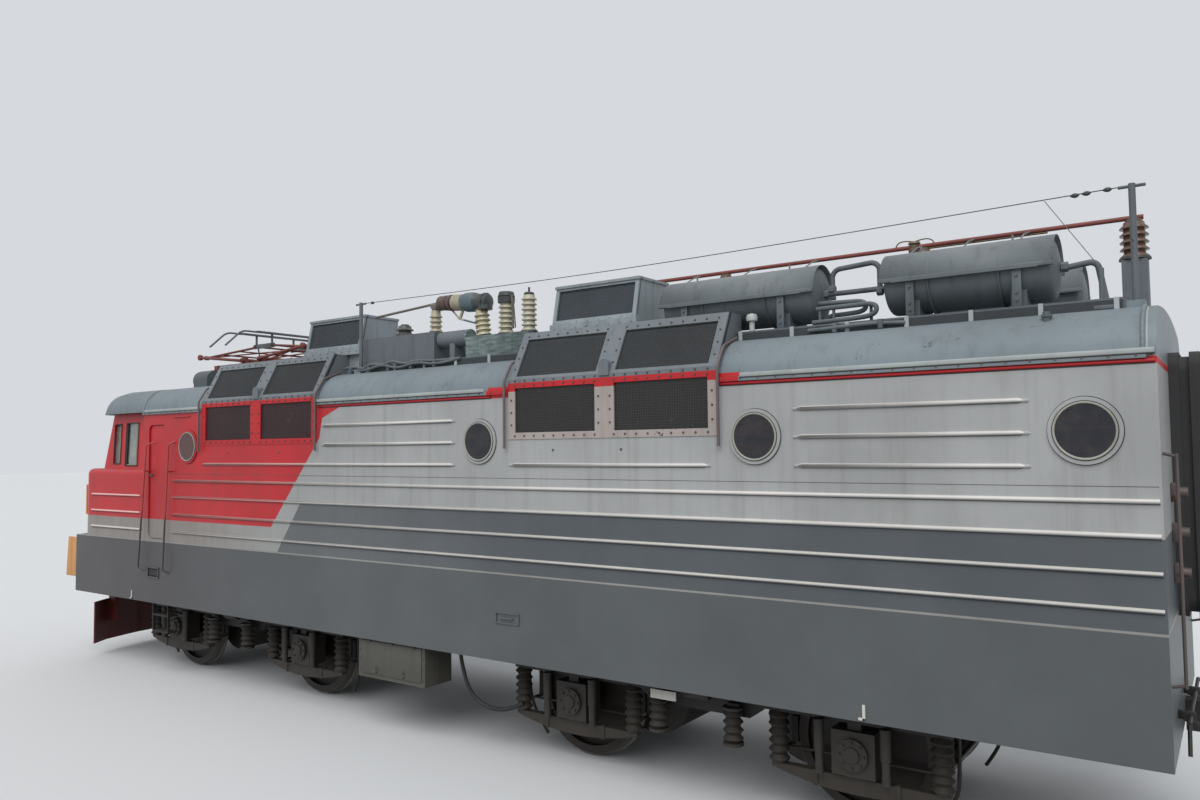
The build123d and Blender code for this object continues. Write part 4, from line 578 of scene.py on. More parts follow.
def add_bolt(shape, place, outward, radius=BOLT_RADIUS, height=BOLT_HEIGHT):
    """A hexagon bolt head standing on a face."""
    add_rod(shape, place, Vector(place) + Vector(outward) * height, radius, 6, radius * 0.9)


def add_screen(shape, corner, along, upward, length, height):
    """Woven wires across a flat bay, from its lower corner along two directions."""
    for step in range(1, int(length / WIRE_PITCH)):
        foot = corner + along * (step * WIRE_PITCH)
        add_rod(shape, foot, foot + upward * height, WIRE_RADIUS, 4)
    for step in range(1, int(height / WIRE_PITCH)):
        foot = corner + upward * (step * WIRE_PITCH)
        add_rod(shape, foot, foot + along * length, WIRE_RADIUS, 4)


def make_piece(name, shape, material, body="root", smooth=None):
    """An object from a finished mesh, riding on a body."""
    bmesh.ops.remove_doubles(shape, verts=shape.verts[:], dist=0.00002)
    bmesh.ops.recalc_face_normals(shape, faces=shape.faces[:])
    mesh = bpy.data.meshes.new(name)
    shape.to_mesh(mesh)
    shape.free()
    mesh.materials.append(material)
    if smooth:
        mesh.shade_smooth()
        mesh.set_sharp_from_angle(angle=math.radians(smooth))
    piece = bpy.data.objects.new(name, mesh)
    scene.collection.objects.link(piece)
    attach(piece, body)
    return piece


def spread(low, high, gaps):
    """Evenly spaced values from low to high."""
    return [low + (high - low) * step / gaps for step in range(gaps + 1)]


def bays_of(front, pillar, rear):
    """The two bays of an intake group, each as its rear and front end."""
    return (rear + FRAME_EDGE, pillar - PILLAR_HALF), (pillar + PILLAR_HALF, front - FRAME_EDGE)


def grille_colour(tree):
    """Frame colour outside, and painted shade for the duct behind the screens."""
    x, y, z = axes_of(tree, object_place(tree))
    pale = times(tree, calculate(tree, "LESS_THAN", x, 0), calculate(tree, "LESS_THAN", z, 3.882))
    tone = mix_colours(tree, pale, LIVERY_RED, (170, 161, 156))
    outer = ramp_of(tree, calculate(tree, "ABSOLUTE", y), FRAME_FACE - 0.02, FRAME_FACE - 0.016)
    # Painted shade: the recessed face behind the screens is coloured dark, reddish behind the front group,
    # for the shadowed duct.
    duct_shade = mix_colours(tree, calculate(tree, "GREATER_THAN", x, 0), (48, 46, 46), (62, 22, 28))
    return mix_colours(tree, outer, duct_shade, tone)


grille_paint = weathered("grille_paint", grille_colour, (80, 66, 62), (112, 98, 92), fading=0.1, runs=0.35,
                         settled=0.4, chips=0.12, gloss=0.5)
dress(grille_paint, "side_grilles")
wire_steel = weathered("wire_steel", (66, 66, 68), (46, 44, 44), (84, 84, 84), runs=0.3, settled=0.3,
                       chips=0.0, gloss=0.6, metallic=0.2)
bolt_steel = weathered("bolt_steel", (92, 82, 80), (70, 50, 42), (110, 104, 98), runs=0.2, settled=0.3,
                       chips=0.2, gloss=0.5, metallic=0.3)
screens = bmesh.new()
bolts = bmesh.new()
for group in INTAKE_GROUPS:
    for side in (1, -1):
        for low_x, high_x in bays_of(*group):
            corner = Vector((low_x, side * SCREEN_FACE, BAY_BOTTOM))
            add_screen(screens, corner, ALONG, Vector((0, 0, 1)), high_x - low_x, BAY_TOP - BAY_BOTTOM)
            spots = [(x, z) for x in spread(low_x, high_x, BOLT_GAPS) for z in EDGE_BOLT_ROWS]
            ends = (low_x - SIDE_BOLT_SETBACK, high_x + SIDE_BOLT_SETBACK)
            spots += [(x, z) for z in SIDE_BOLT_ROWS for x in ends]
            for x, z in spots:
                add_bolt(bolts, (x, side * FRAME_FACE, z), (0, side, 0))
make_piece("intake_screens", screens, wire_steel)
make_piece("intake_frame_bolts", bolts, bolt_steel)


# Roof intake housings. Leaning screens in grey sheet frames, bolted along their edges, over a flat
# deck. The duct behind each screen is painted dark as shade, and the grey paint has begun to chip.
LEAN_FOOT = (1.58, 4.01)
LEAN_HEAD = (1.31, 4.53)
UPPER_BOTTOM = 4.04
UPPER_TOP = 4.45
DECK_BOLT_Z = 3.99
LEAN_BOLT_ROWS = (4.12, 4.24, 4.36)
lean = math.atan2(LEAN_FOOT[0] - LEAN_HEAD[0], LEAN_HEAD[1] - LEAN_FOOT[1])


def on_slope(foot, lean, x, z, side=1, depth=0.0):
    """A place on a face that leans in above its foot, at a height, or at a depth behind the face."""
    y = foot[0] - (z - foot[1]) * math.tan(lean)
    return Vector((x, side * (y - depth * math.cos(lean)), z - depth * math.sin(lean)))


def slope_depth(tree, foot, lean, y, z):
    """How far a surface point stands ahead of a leaning face."""
    out_y, out_z = minus(tree, y, foot[0]), minus(tree, z, foot[1])
    return plus(tree, times(tree, out_y, math.cos(lean)), times(tree, out_z, math.sin(lean)))


def on_lean(x, z, side, depth=0.0):
    """A place on the leaning face of a housing."""
    return on_slope(LEAN_FOOT, lean, x, z, side, depth)


def housing_colour(tree):
    """Grey paint on the frames, and painted shade for the duct behind the leaning screens."""
    _, y, z = axes_of(tree, object_place(tree))
    depth = slope_depth(tree, LEAN_FOOT, lean, calculate(tree, "ABSOLUTE", y), z)
    duct_shade_mask = times(tree, calculate(tree, "LESS_THAN", depth, -0.02),
                   calculate(tree, "GREATER_THAN", z, UPPER_BOTTOM - 0.03))
    steep = calculate(tree, "GREATER_THAN", depth, -0.05)
    share = times(tree, duct_shade_mask, steep)
    # Painted shade: the face behind the screens is coloured dark for the shadowed duct.
    return mix_colours(tree, share, (112, 119, 124), (46, 52, 55))


housing_paint = weathered("housing_paint", housing_colour, (70, 70, 70), (120, 121, 120), fading=0.14,
                          runs=0.4, settled=0.35, chips=0.14, gloss=0.55, bump=0.2)
dress(housing_paint, "louvre_housings")
screens = bmesh.new()
bolts = bmesh.new()
outward = {side: Vector((0, side * math.cos(lean), math.sin(lean))) for side in (1, -1)}
for group in INTAKE_GROUPS:
    for side in (1, -1):
        for low_x, high_x in bays_of(*group):
            corner = on_lean(low_x, UPPER_BOTTOM, side, 0.014)
            upward = on_lean(low_x, UPPER_TOP, side, 0.014) - corner
            add_screen(screens, corner, ALONG, upward.normalized(), high_x - low_x, upward.length)
            for x in spread(low_x, high_x, BOLT_GAPS):
                add_bolt(bolts, on_lean(x, UPPER_TOP + 0.03, side), outward[side])
                add_bolt(bolts, (x, side * LEAN_FOOT[0], DECK_BOLT_Z), (0, side, 0))
            for z in LEAN_BOLT_ROWS:
                for x in (low_x - SIDE_BOLT_SETBACK, high_x + SIDE_BOLT_SETBACK):
                    add_bolt(bolts, on_lean(x, z, side), outward[side])
make_piece("housing_screens", screens, wire_steel)
make_piece("housing_bolts", bolts, bolt_steel)


# Portholes. Flat glass in a pale rubber ring over a cast flange that is painted with the wall, with
# a dark line round it. The machine room behind is dark, so the panes read as dull mirrors.
PORTHOLES = (4.334, -1.337, -4.587, -7.147)
PORTHOLE_Z = 3.366
RING_FACE = 1.594
PANE = ((0, 0.194), (0.006, 0.194), (0.007, 0.0))
LIP = ((0.0, 0.193), (0.013, 0.194), (0.016, 0.2), (0.014, 0.208), (0.0, 0.21))
SEAL = ((0.0, 0.21), (0.007, 0.21), (0.007, 0.215), (0.0, 0.215))
FLANGE_FACE = 1.58
FLANGE_EDGE_LINE = ((0.0, 0.238), (0.004, 0.2465), (0.0, 0.2475))
dark_glass, tree, output = new_material("dark_glass")
place = object_place(tree)
dust_film = ramp_of(tree, noise_of(tree, place, 9, 5), 0.35, 0.75)
streaks_place = node(tree, "ShaderNodeMapping", {"Vector": place, "Scale": (2, 2, 16)}).outputs[0]
streaks = ramp_of(tree, noise_of(tree, streaks_place, 1.4, 3), 0.42, 0.62)
tone = mix_colours(tree, times(tree, dust_film, 0.3), (28, 30, 38), (66, 66, 66))
tone = mix_colours(tree, times(tree, streaks, 0.4), tone, (58, 44, 46))
along = axes_of(tree, place)["X"]
tone = mix_colours(tree, calculate(tree, "GREATER_THAN", along, 4), tone, (84, 52, 48))
shine = ramp_of(tree, dust_film, 0, 1, 0.08, 0.4)
surface(tree, output, {"Base Color": tone, "Roughness": shine, "IOR": 1.5})
seal_rubber = weathered("seal_rubber", (40, 40, 41), SOOT, (84, 80, 76), runs=0.2, settled=0.3, chips=0.0,
                        gloss=0.6)
pale_rubber = weathered("pale_rubber", (166, 166, 156), (80, 78, 72), (110, 108, 100), runs=0.3, settled=0.3,
                        chips=0.0, gloss=0.6)
dress(body_paint, "portholes")
panes = bmesh.new()
seals = bmesh.new()
lips = bmesh.new()
for x in PORTHOLES:
    for side in (1, -1):
        for shape, y, outline in ((panes, RING_FACE, PANE), (lips, RING_FACE, LIP), (seals, RING_FACE, SEAL),
                                  (seals, FLANGE_FACE, FLANGE_EDGE_LINE)):
            add_lathe(shape, (x, side * y, PORTHOLE_Z), (0, side, 0), outline, 48)
make_piece("porthole_glass", panes, dark_glass, smooth=30)
make_piece("porthole_seals", seals, seal_rubber, smooth=40)
make_piece("porthole_lips", lips, pale_rubber, smooth=60)


# Cab side windows. Sliding panes in pale painted steel frames, with a fixed quarter light ahead of each,
# all in black rubber on the leaning side sheet.
WALL_SILL = (1.485, 3.04)
WALL_HEAD = (1.455, 3.9)
SIDE_OPENINGS = ((5.915, 6.28, 3.085, 3.75), (6.43, 6.64, 3.115, 3.74))
window_frame = weathered("window_frame", (150, 132, 118), (92, 74, 64), (124, 116, 108), runs=0.3,
                         settled=0.25, chips=0.15, gloss=0.45)


def cab_side(x, z, side, depth=0.0):
    """A place on the leaning cab side."""
    share = (z - WALL_SILL[1]) / (WALL_HEAD[1] - WALL_SILL[1])
    return Vector((x, side * (WALL_SILL[0] + (WALL_HEAD[0] - WALL_SILL[0]) * share - depth), z))


frames = bmesh.new()
seals = bmesh.new()
for side in (1, -1):
    bars = []
    for rear, front, sill, head in SIDE_OPENINGS:
        for low, high in (((rear, sill), (rear, head)), ((front, sill), (front, head)),
                          ((rear, sill), (front, sill)), ((rear, head), (front, head))):
            bars.append((seals, low, high, -0.002, 0.009, 8))
    rear, front, sill, head = SIDE_OPENINGS[0]
    bars += [(frames, (rear + 0.024, sill + 0.01), (rear + 0.024, head - 0.01), 0.014, 0.03, 4),
             (frames, (rear + 0.01, sill + 0.012), (front - 0.01, sill + 0.012), 0.014, 0.014, 4),
             (seals, (front - 0.02, sill + 0.01), (front - 0.02, head - 0.01), 0.012, 0.02, 6),
             (seals, (rear + 0.06, sill + 0.2), (rear + 0.06, head - 0.01), 0.012, 0.009, 6)]
    for shape, low, high, depth, radius, sides in bars:
        add_rod(shape, cab_side(*low, side, depth), cab_side(*high, side, depth), radius, sides)
make_piece("side_window_frames", frames, window_frame)
make_piece("side_window_seals", seals, seal_rubber, smooth=40)


# Curtains. Each side window has a cotton curtain that hangs from a rail inside, drawn over it in soft
# upright folds. The front one has yellowed.
CURTAINS = (("rear", 5.94, 6.10, 3.12, 3.73), ("front", 6.44, 6.63, 3.13, 3.72))
CURTAIN_DEPTH = 0.07
CURTAIN_ROWS = 6
CLOTH_THICKNESS = 0.0015
FOLD_DEPTH = 0.011
FOLD_PITCH = 0.052
STEPS_PER_FOLD = 8
WINDOW_POST_X = 6.36
curtain_cloth, tree, output = new_material("curtain_cloth")
place = object_place(tree)
wave = {"Vector": place, "Scale": 420, "Distortion": 0.6}
threads = [node(tree, "ShaderNodeTexWave", wave, bands_direction=axis) for axis in ("X", "Z")]
weave = times(tree, threads[0].outputs["Fac"], threads[1].outputs["Fac"])
soiling = ramp_of(tree, noise_of(tree, place, 5, 4), 0.35, 0.7)
in_front = calculate(tree, "GREATER_THAN", axes_of(tree, place)["X"], WINDOW_POST_X)
cloth = mix_colours(tree, in_front, (206, 210, 204), (214, 186, 158))
cloth = mix_colours(tree, times(tree, soiling, 0.3), cloth, (140, 134, 122))
surface(tree, output, {
    "Base Color": cloth,
    "Roughness": 0.85,
    "Sheen Weight": 0.25,
    "Normal": node(tree, "ShaderNodeBump", {"Height": weave, "Strength": 0.3, "Distance": 0.001}).outputs[0],
})
for side, side_name in ((1, "left"), (-1, "right")):
    for label, rear, front, hem, rail in CURTAINS:
        count = round((front - rear) / FOLD_PITCH) * STEPS_PER_FOLD
        cloth_line = []
        for step, x in enumerate(spread(rear, front, count)):
            swing = FOLD_DEPTH * math.sin(math.tau * step / STEPS_PER_FOLD)
            cloth_line.append(cab_side(x, rail, side, CURTAIN_DEPTH + swing))
        shape = bmesh.new()
        ring = [shape.verts.new(spot) for spot in cloth_line]
        edges = [shape.edges.new(pair) for pair in zip(ring, ring[1:])]
        drop = (cab_side(rear, hem, side) - cab_side(rear, rail, side)) / CURTAIN_ROWS
        for _ in range(CURTAIN_ROWS):
            grown = bmesh.ops.extrude_edge_only(shape, edges=edges)["geom"]
            lower = [item for item in grown if isinstance(item, bmesh.types.BMVert)]
            bmesh.ops.translate(shape, vec=drop, verts=lower)
            edges = [item for item in grown if isinstance(item, bmesh.types.BMEdge)]
        curtain = make_piece(f"curtain_{label}_{side_name}", shape, curtain_cloth, smooth=80)
        curtain.modifiers.new("cloth", "SOLIDIFY").thickness = CLOTH_THICKNESS


# Windscreens. Two flat panes lean back from sill to head in seals of black rubber, with a post between
# them. A wiper arm with its blade turns on a hub under each.
FRONT_BOW = 0.04
FRONT_HALF = 1.33
SCREEN_FOOT = (7.08, 3.04)
SCREEN_BROW = (6.84, 3.9)
SCREEN_SPAN = (0.09, 1.2)
SCREEN_SILL = 3.09
SCREEN_HEAD = 3.79


def cab_front(y, z, proud=0.0):
    """A place on the leaning, slightly bowed cab front."""
    share = (z - SCREEN_FOOT[1]) / (SCREEN_BROW[1] - SCREEN_FOOT[1])
    front = SCREEN_FOOT[0] + (SCREEN_BROW[0] - SCREEN_FOOT[0]) * share
    return Vector((front - FRONT_BOW * (y / FRONT_HALF) ** 2 + proud, y, z))


seals = bmesh.new()
wipers = bmesh.new()
for side in (1, -1):
    inner, outer = (side * span for span in SCREEN_SPAN)
    corners = [cab_front(y, z, 0.004) for y, z in ((inner, SCREEN_SILL), (outer, SCREEN_SILL),
                                                   (outer, SCREEN_HEAD), (inner, SCREEN_HEAD))]
    for start, end in zip(corners, corners[1:] + corners[:1]):
        middle = (start + end) / 2
        middle.x += FRONT_BOW * ((start.y - end.y) / 2 / FRONT_HALF) ** 2
        add_rod(seals, start, middle, 0.016, 8)
        add_rod(seals, middle, end, 0.016, 8)
    hub = cab_front(side * 0.66, 3.06, 0.02)
    elbow = cab_front(side * 0.52, 3.42, 0.05)
    add_rod(wipers, hub - Vector((0.03, 0, 0)), hub + Vector((0.035, 0, 0)), 0.026, 12)
    add_rod(wipers, hub + Vector((0.03, 0, 0)), elbow, 0.008, 8)
    add_rod(wipers, cab_front(side * 0.50, 3.16, 0.024), cab_front(side * 0.54, 3.68, 0.024), 0.009, 6)
make_piece("windscreen_seals", seals, seal_rubber, smooth=40)
make_piece("wipers", wipers, seal_rubber, smooth=40)


# Lamps. Pressed steel bodies with bolted rims, ribbed clear lenses above and red ones below. The
# roof searchlight has one large lens in a deep rim.
LAMP_FACE = 7.55
LAMP_SPREAD = 1.13
CLEAR_Z = 2.42
RED_Z = 2.16
SEARCHLIGHT = (6.6, 0, 4.515)
LENS = ((0.0, 0.098), (0.014, 0.096), (0.026, 0.075), (0.033, 0.04), (0.035, 0.0))
RIM = ((0.0, 0.124), (0.02, 0.124), (0.026, 0.116), (0.026, 0.104), (0.012, 0.098), (0.0, 0.1))


def lens_material(name, colour, deep):
    """Ribbed moulded glass with a reflector behind it."""
    material, tree, output = new_material(name)
    wave = {"Vector": object_place(tree), "Scale": 22, "Distortion": 0.2}
    flutes = node(tree, "ShaderNodeTexWave", wave, bands_direction="Y")
    tone = mix_colours(tree, flutes.outputs["Fac"], deep, colour)
    bump = node(tree, "ShaderNodeBump", {"Height": flutes.outputs["Fac"], "Strength": 0.4, "Distance": 0.004})
    surface(tree, output, {"Base Color": tone, "Roughness": 0.12, "IOR": 1.5, "Coat Weight": 0.6,
                           "Normal": bump.outputs[0]})
    return material


clear_lens = lens_material("clear_lens", (214, 216, 210), (120, 124, 124))
red_lens = lens_material("red_lens", (176, 34, 30), (92, 14, 16))
clear = bmesh.new()
red = bmesh.new()
rims = bmesh.new()
for side in (1, -1):
    for shape, z in ((clear, CLEAR_Z), (red, RED_Z)):
        add_lathe(shape, (LAMP_FACE, side * LAMP_SPREAD, z), ALONG, LENS, 32)
        add_lathe(rims, (LAMP_FACE, side * LAMP_SPREAD, z), ALONG, RIM, 32)
add_lathe(clear, SEARCHLIGHT, ALONG, [(along * 1.4, radius * 1.4) for along, radius in LENS], 40)
add_lathe(rims, SEARCHLIGHT, ALONG, [(along * 1.6, radius * 1.34) for along, radius in RIM], 40)
make_piece("clear_lenses", clear, clear_lens, smooth=50)
make_piece("red_lenses", red, red_lens, smooth=50)
make_piece("lamp_rims", rims, lamp_paint, smooth=40)


# Roof insulators. Glazed stoneware with thick sheds, cream on the switch, brown under the bus and
# grey-brown under the pantograph. Each stands in a cast iron cap and foot, darker than the glaze.
COLUMNS = (
    (-0.05, 0.96, 4.71, 4.985, 0.078, (176, 170, 146)),
    (0.5, 0.96, 4.71, 4.84, 0.11, (78, 80, 82)),
    (-0.8, 0.96, 4.6, 4.92, 0.092, (186, 180, 152)),
    (-1.19, 0.96, 4.6, 4.99, 0.092, (184, 179, 156)),
    (-1.53, 0.96, 4.6, 5.02, 0.088, (190, 186, 164)),
    (-3.74, 0.42, 4.36, 5.05, 0.085, (104, 84, 74)),
    (-5.75, 0.42, 4.36, 5.05, 0.085, (104, 84, 74)),
    (-7.41, 0.42, 4.75, 5.05, 0.105, (108, 84, 72)),
)
COLUMN_REACH = 0.13
SWITCH_COLUMN_X = -0.8
SWITCH_COLUMN_LEAN = 0.045
SHED_PITCH = 0.058
SHED_DEPTH = 0.034
CAPS = (
    (-1.19, 0.96, 4.965, 0.098, 0.125),
    (-1.53, 0.96, 5.01, 0.06, 0.04),
    (-0.05, 0.96, 4.975, 0.05, 0.03),
    (-7.41, 0.42, 5.03, 0.06, 0.05),
    (-3.74, 0.42, 5.03, 0.05, 0.04),
    (-5.75, 0.42, 5.03, 0.05, 0.04),
)


def glaze_colour(tree):
    """The glaze of each column by its place along the roof."""
    along = axes_of(tree, object_place(tree))["X"]
    tone = (96, 90, 88)
    for x, *_, colour in COLUMNS:
        tone = mix_colours(tree, between(tree, along, x - COLUMN_REACH, x + COLUMN_REACH), tone, colour)
    return tone


column_glaze = weathered("column_glaze", glaze_colour, (84, 74, 62), (116, 110, 98), fading=0.1, runs=0.5,
                         settled=0.35, chips=0.0, gloss=0.24, bump=0.05)
cap_paint = weathered("cap_paint", (64, 66, 68), SOOT, (112, 112, 110), runs=0.4, settled=0.4, chips=0.2,
                      gloss=0.5)
dress(column_glaze, "roof_insulators")
sheds = bmesh.new()
caps = bmesh.new()
for x, y, foot, top, radius, _ in COLUMNS:
    lean_x = SWITCH_COLUMN_LEAN if x == SWITCH_COLUMN_X else 0.0
    axis = Vector((lean_x, 0, top - foot)).normalized()
    base = Vector((x - lean_x, y, foot))
    core = radius * 0.72
    outline = [(0.0, 0.0), (0.0, core)]
    for step in range(int((top - foot) / SHED_PITCH)):
        z = 0.012 + step * SHED_PITCH
        outline += [(z, core), (z + 0.004, radius), (z + 0.012, radius), (z + SHED_DEPTH, core + 0.004)]
    outline += [(top - foot, core), (top - foot, 0.0)]
    add_lathe(sheds, base, axis, outline, 24)
    foot_ring = [(-0.004, 0.0), (-0.004, radius + 0.012), (0.014, radius + 0.008), (0.014, 0.0)]
    add_lathe(caps, base, (0, 0, 1), foot_ring, 20)
for x, y, z, radius, depth in CAPS:
    outline = [(0, 0.0), (0, radius), (0.01, radius), (depth * 0.5, radius * 1.02),
               (depth * 0.55, radius * 0.9), (depth * 0.6, radius * 1.02), (depth, radius * 0.85),
               (depth, 0.0)]
    add_lathe(caps, (x, y, z), (0, 0, 1), outline, 28)
add_rod(caps, (-1.53, 0.96, 5.04), (-1.53, 0.96, 5.11), 0.012, 8)
make_piece("insulator_sheds", sheds, column_glaze, smooth=50)
make_piece("insulator_caps", caps, cap_paint, smooth=40)


# Main switch. The arc chamber slopes down to the rear: a banded brown end, ribbed stoneware, a painted
# drum and a bolted cast head on the leaning column. A slim contact tube runs forward to the hood.
CHAMBER_AXIS = Vector((0.8, 0, 0.062)).normalized()
CHAMBER_REAR = Vector((-0.925, 0.96, 5.008))
CHAMBER_SPANS = (
    (-0.36, -0.11, (92, 74, 70)),
    (-0.52, -0.36, (176, 170, 150)),
    (-0.73, -0.52, (86, 108, 114)),
    (-0.95, -0.73, (70, 76, 76)),
)
CHAMBER_BOLTS = 8
CHAMBER_RODS = (
    ((-0.3, 0.96, 4.99), (-0.44, 0.96, 4.85), 0.011),
    ((-0.44, 0.96, 4.85), (-0.72, 0.95, 4.77), 0.011),
    ((-0.5, 0.96, 4.94), (-0.46, 0.96, 4.86), 0.02),
    ((-0.86, 0.96, 4.92), (-0.86, 0.96, 4.98), 0.09),
    ((-1.29, 0.98, 5.03), (-1.31, 0.98, 4.66), 0.012),
    ((-1.33, 1.0, 4.98), (-1.36, 1.0, 4.66), 0.008),
    ((-1.19, 0.98, 5.05), (-1.30, 0.98, 5.03), 0.012),
)


def chamber_colour(tree):
    """Colours of the switch parts from the cast head to the contact."""
    x = axes_of(tree, object_place(tree))["X"]
    tone = (110, 104, 98)
    for rear, front, colour in CHAMBER_SPANS:
        tone = mix_colours(tree, between(tree, x, rear, front), tone, colour)
    return tone


switch_finish = weathered("switch_finish", chamber_colour, (64, 56, 50), (112, 110, 104), fading=0.16,
                          runs=0.5, settled=0.4, chips=0.1, gloss=0.38, bump=0.25)
dress(switch_finish, "main_switch")
outline = [(0.0, 0.0), (0.0, 0.07), (0.012, 0.088), (0.05, 0.092), (0.056, 0.104), (0.074, 0.104),
           (0.08, 0.09), (0.17, 0.094), (0.19, 0.106), (0.24, 0.116), (0.34, 0.116), (0.39, 0.102)]
for rib in range(5):
    outline += [(0.4 + rib * 0.034, 0.084), (0.412 + rib * 0.034, 0.099), (0.424 + rib * 0.034, 0.084)]
for band in range(3):
    outline += [(0.575 + band * 0.08, 0.078), (0.585 + band * 0.08, 0.098 - band * 0.006),
                (0.63 + band * 0.08, 0.098 - band * 0.006), (0.64 + band * 0.08, 0.076)]
outline += [(0.82, 0.06), (0.82, 0.0)]
chamber = bmesh.new()
add_lathe(chamber, CHAMBER_REAR, CHAMBER_AXIS, outline, 32)
for step in range(CHAMBER_BOLTS):
    angle = math.tau * step / CHAMBER_BOLTS
    spot = CHAMBER_REAR + Vector((0, math.cos(angle), math.sin(angle))) * 0.096
    add_rod(chamber, spot + CHAMBER_AXIS * 0.04, spot + CHAMBER_AXIS * 0.09, 0.012, 6)
add_rod(chamber, (1.05, 0.96, 5.0), (-0.1, 0.96, 5.075), 0.016, 12)
for start, end, radius in CHAMBER_RODS:
    add_rod(chamber, start, end, radius, 12)
make_piece("switch_chamber", chamber, switch_finish, smooth=35)


# Roof aerial. A bare stranded copper wire is strung tight between the two masts, with a slight sag
# and with small egg insulators near its ends.
AERIAL = ((-7.40, 1.11, 5.185), (-4.6, 1.12, 5.13), (-1.8, 1.15, 5.11), (1.04, 1.18, 5.155))
EGGS = ((-7.335, 1.11, 5.181), (-7.195, 1.11, 5.176), (-7.115, 1.11, 5.173), (0.825, 1.178, 5.148))
EGG = ((0, 0.0), (0.01, 0.012), (0.025, 0.018), (0.04, 0.018), (0.055, 0.012), (0.07, 0.0))


def add_pipe(name, points, radius, material, body="root", sides=3):
    """A bent tube along a smooth line led by a few points."""
    curve = bpy.data.curves.new(name, "CURVE")
    curve.dimensions = "3D"
    curve.bevel_depth = radius
    curve.bevel_resolution = sides
    curve.resolution_u = 8
    curve.use_fill_caps = True
    spline = curve.splines.new("NURBS")
    spline.points.add(len(points) - 1)
    for point, place in zip(spline.points, points):
        point.co = (*place, 1)
    spline.order_u = 3
    spline.use_endpoint_u = True
    curve.materials.append(material)
    piece = bpy.data.objects.new(name, curve)
    scene.collection.objects.link(piece)
    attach(piece, body)
    return piece


add_pipe("aerial_wire", AERIAL, 0.004, cap_paint)
eggs = bmesh.new()
for place in EGGS:
    add_lathe(eggs, place, ALONG, EGG, 16)
make_piece("aerial_insulators", eggs, cap_paint, smooth=60)


# Air reservoirs. Welded drums under half-shell heat shields, held by flat hangers from the shield
# edge down to the saddles. Grey paint, paler on top and darker below.
TANK_PLACES = ((-4.95, -3.3, 1), (-6.92, -5.53, 1), (-6.92, -5.53, -1))
TANK_Y = 0.78
TANK_Z = 4.68
TANK_RADIUS = 0.262
SHIELD_RADIUS = 0.276
SHEET_RADIUS = 0.28
SHEET_STEPS = 32
SADDLE_X = (-4.62, -3.6, -5.8, -6.64)
HANGER_BOLTS = (4.42, 4.48, 4.62)
BAND = ((-0.012, TANK_RADIUS + 0.004), (-0.004, SHIELD_RADIUS + 0.006), (0.004, SHIELD_RADIUS + 0.006),
        (0.012, TANK_RADIUS + 0.004))
DECK_Z = 4.345


def tank_colour(tree):
    """Paler grey at the top, darker lower down below the shield."""
    height = axes_of(tree, object_place(tree))["Z"]
    share = ramp_of(tree, height, TANK_Z - 0.2, TANK_Z + 0.24)
    return mix_colours(tree, share, (90, 98, 103), (112, 119, 122))


tank_paint = weathered("tank_paint", tank_colour, (62, 62, 62), (150, 152, 150), fading=0.12, runs=0.45,
                       settled=0.4, chips=0.1, gloss=0.58, bump=0.2)
dress(tank_paint, "air_tanks")
shields = bmesh.new()
for rear, front, side in TANK_PLACES:
    last = None
    for angle in spread(0, math.pi, SHEET_STEPS):
        edge = Vector((0, side * TANK_Y + SHEET_RADIUS * math.cos(angle),
                       TANK_Z + SHEET_RADIUS * math.sin(angle)))
        pair = [shields.verts.new(edge + ALONG * x) for x in (rear + 0.012, front - 0.012)]
        if last:
            shields.faces.new((last[0], last[1], pair[1], pair[0]))
        last = pair
hoods = make_piece("tank_shields", shields, tank_paint, smooth=40)
wall = hoods.modifiers.new("sheet", "SOLIDIFY")
wall.thickness = 0.003
wall.offset = -1
fittings = bmesh.new()
for rear, front, side in TANK_PLACES:
    for edge in (1, -1):
        y = side * TANK_Y + edge * SHIELD_RADIUS
        low, high = sorted((y - edge * 0.006, y + edge * 0.036))
        add_box(fittings, (rear + 0.012, low, TANK_Z - 0.008), (front - 0.012, high, TANK_Z + 0.026), 0.004)
    hanger_y = TANK_Y + SHIELD_RADIUS + 0.012
    for x in (spot for spot in SADDLE_X if rear < spot < front):
        add_side_box(fittings, side, (x - 0.035, hanger_y - 0.024, DECK_Z), (x + 0.035, hanger_y, TANK_Z),
                     0.003)
        for z in HANGER_BOLTS:
            add_bolt(fittings, (x, side * hanger_y, z), (0, side, 0), 0.012, 0.014)
    for share in (0.3, 0.7):
        add_lathe(fittings, (rear + (front - rear) * share, side * TANK_Y, TANK_Z), ALONG, BAND, 40)
    for x in (rear + 0.35, front - 0.3):
        crown = Vector((x, side * TANK_Y, TANK_Z + SHIELD_RADIUS))
        add_rod(fittings, crown - Vector((0, 0, 0.01)), crown + Vector((0, 0, 0.05)), 0.009, 8)
make_piece("tank_fittings", fittings, tank_paint, smooth=40)


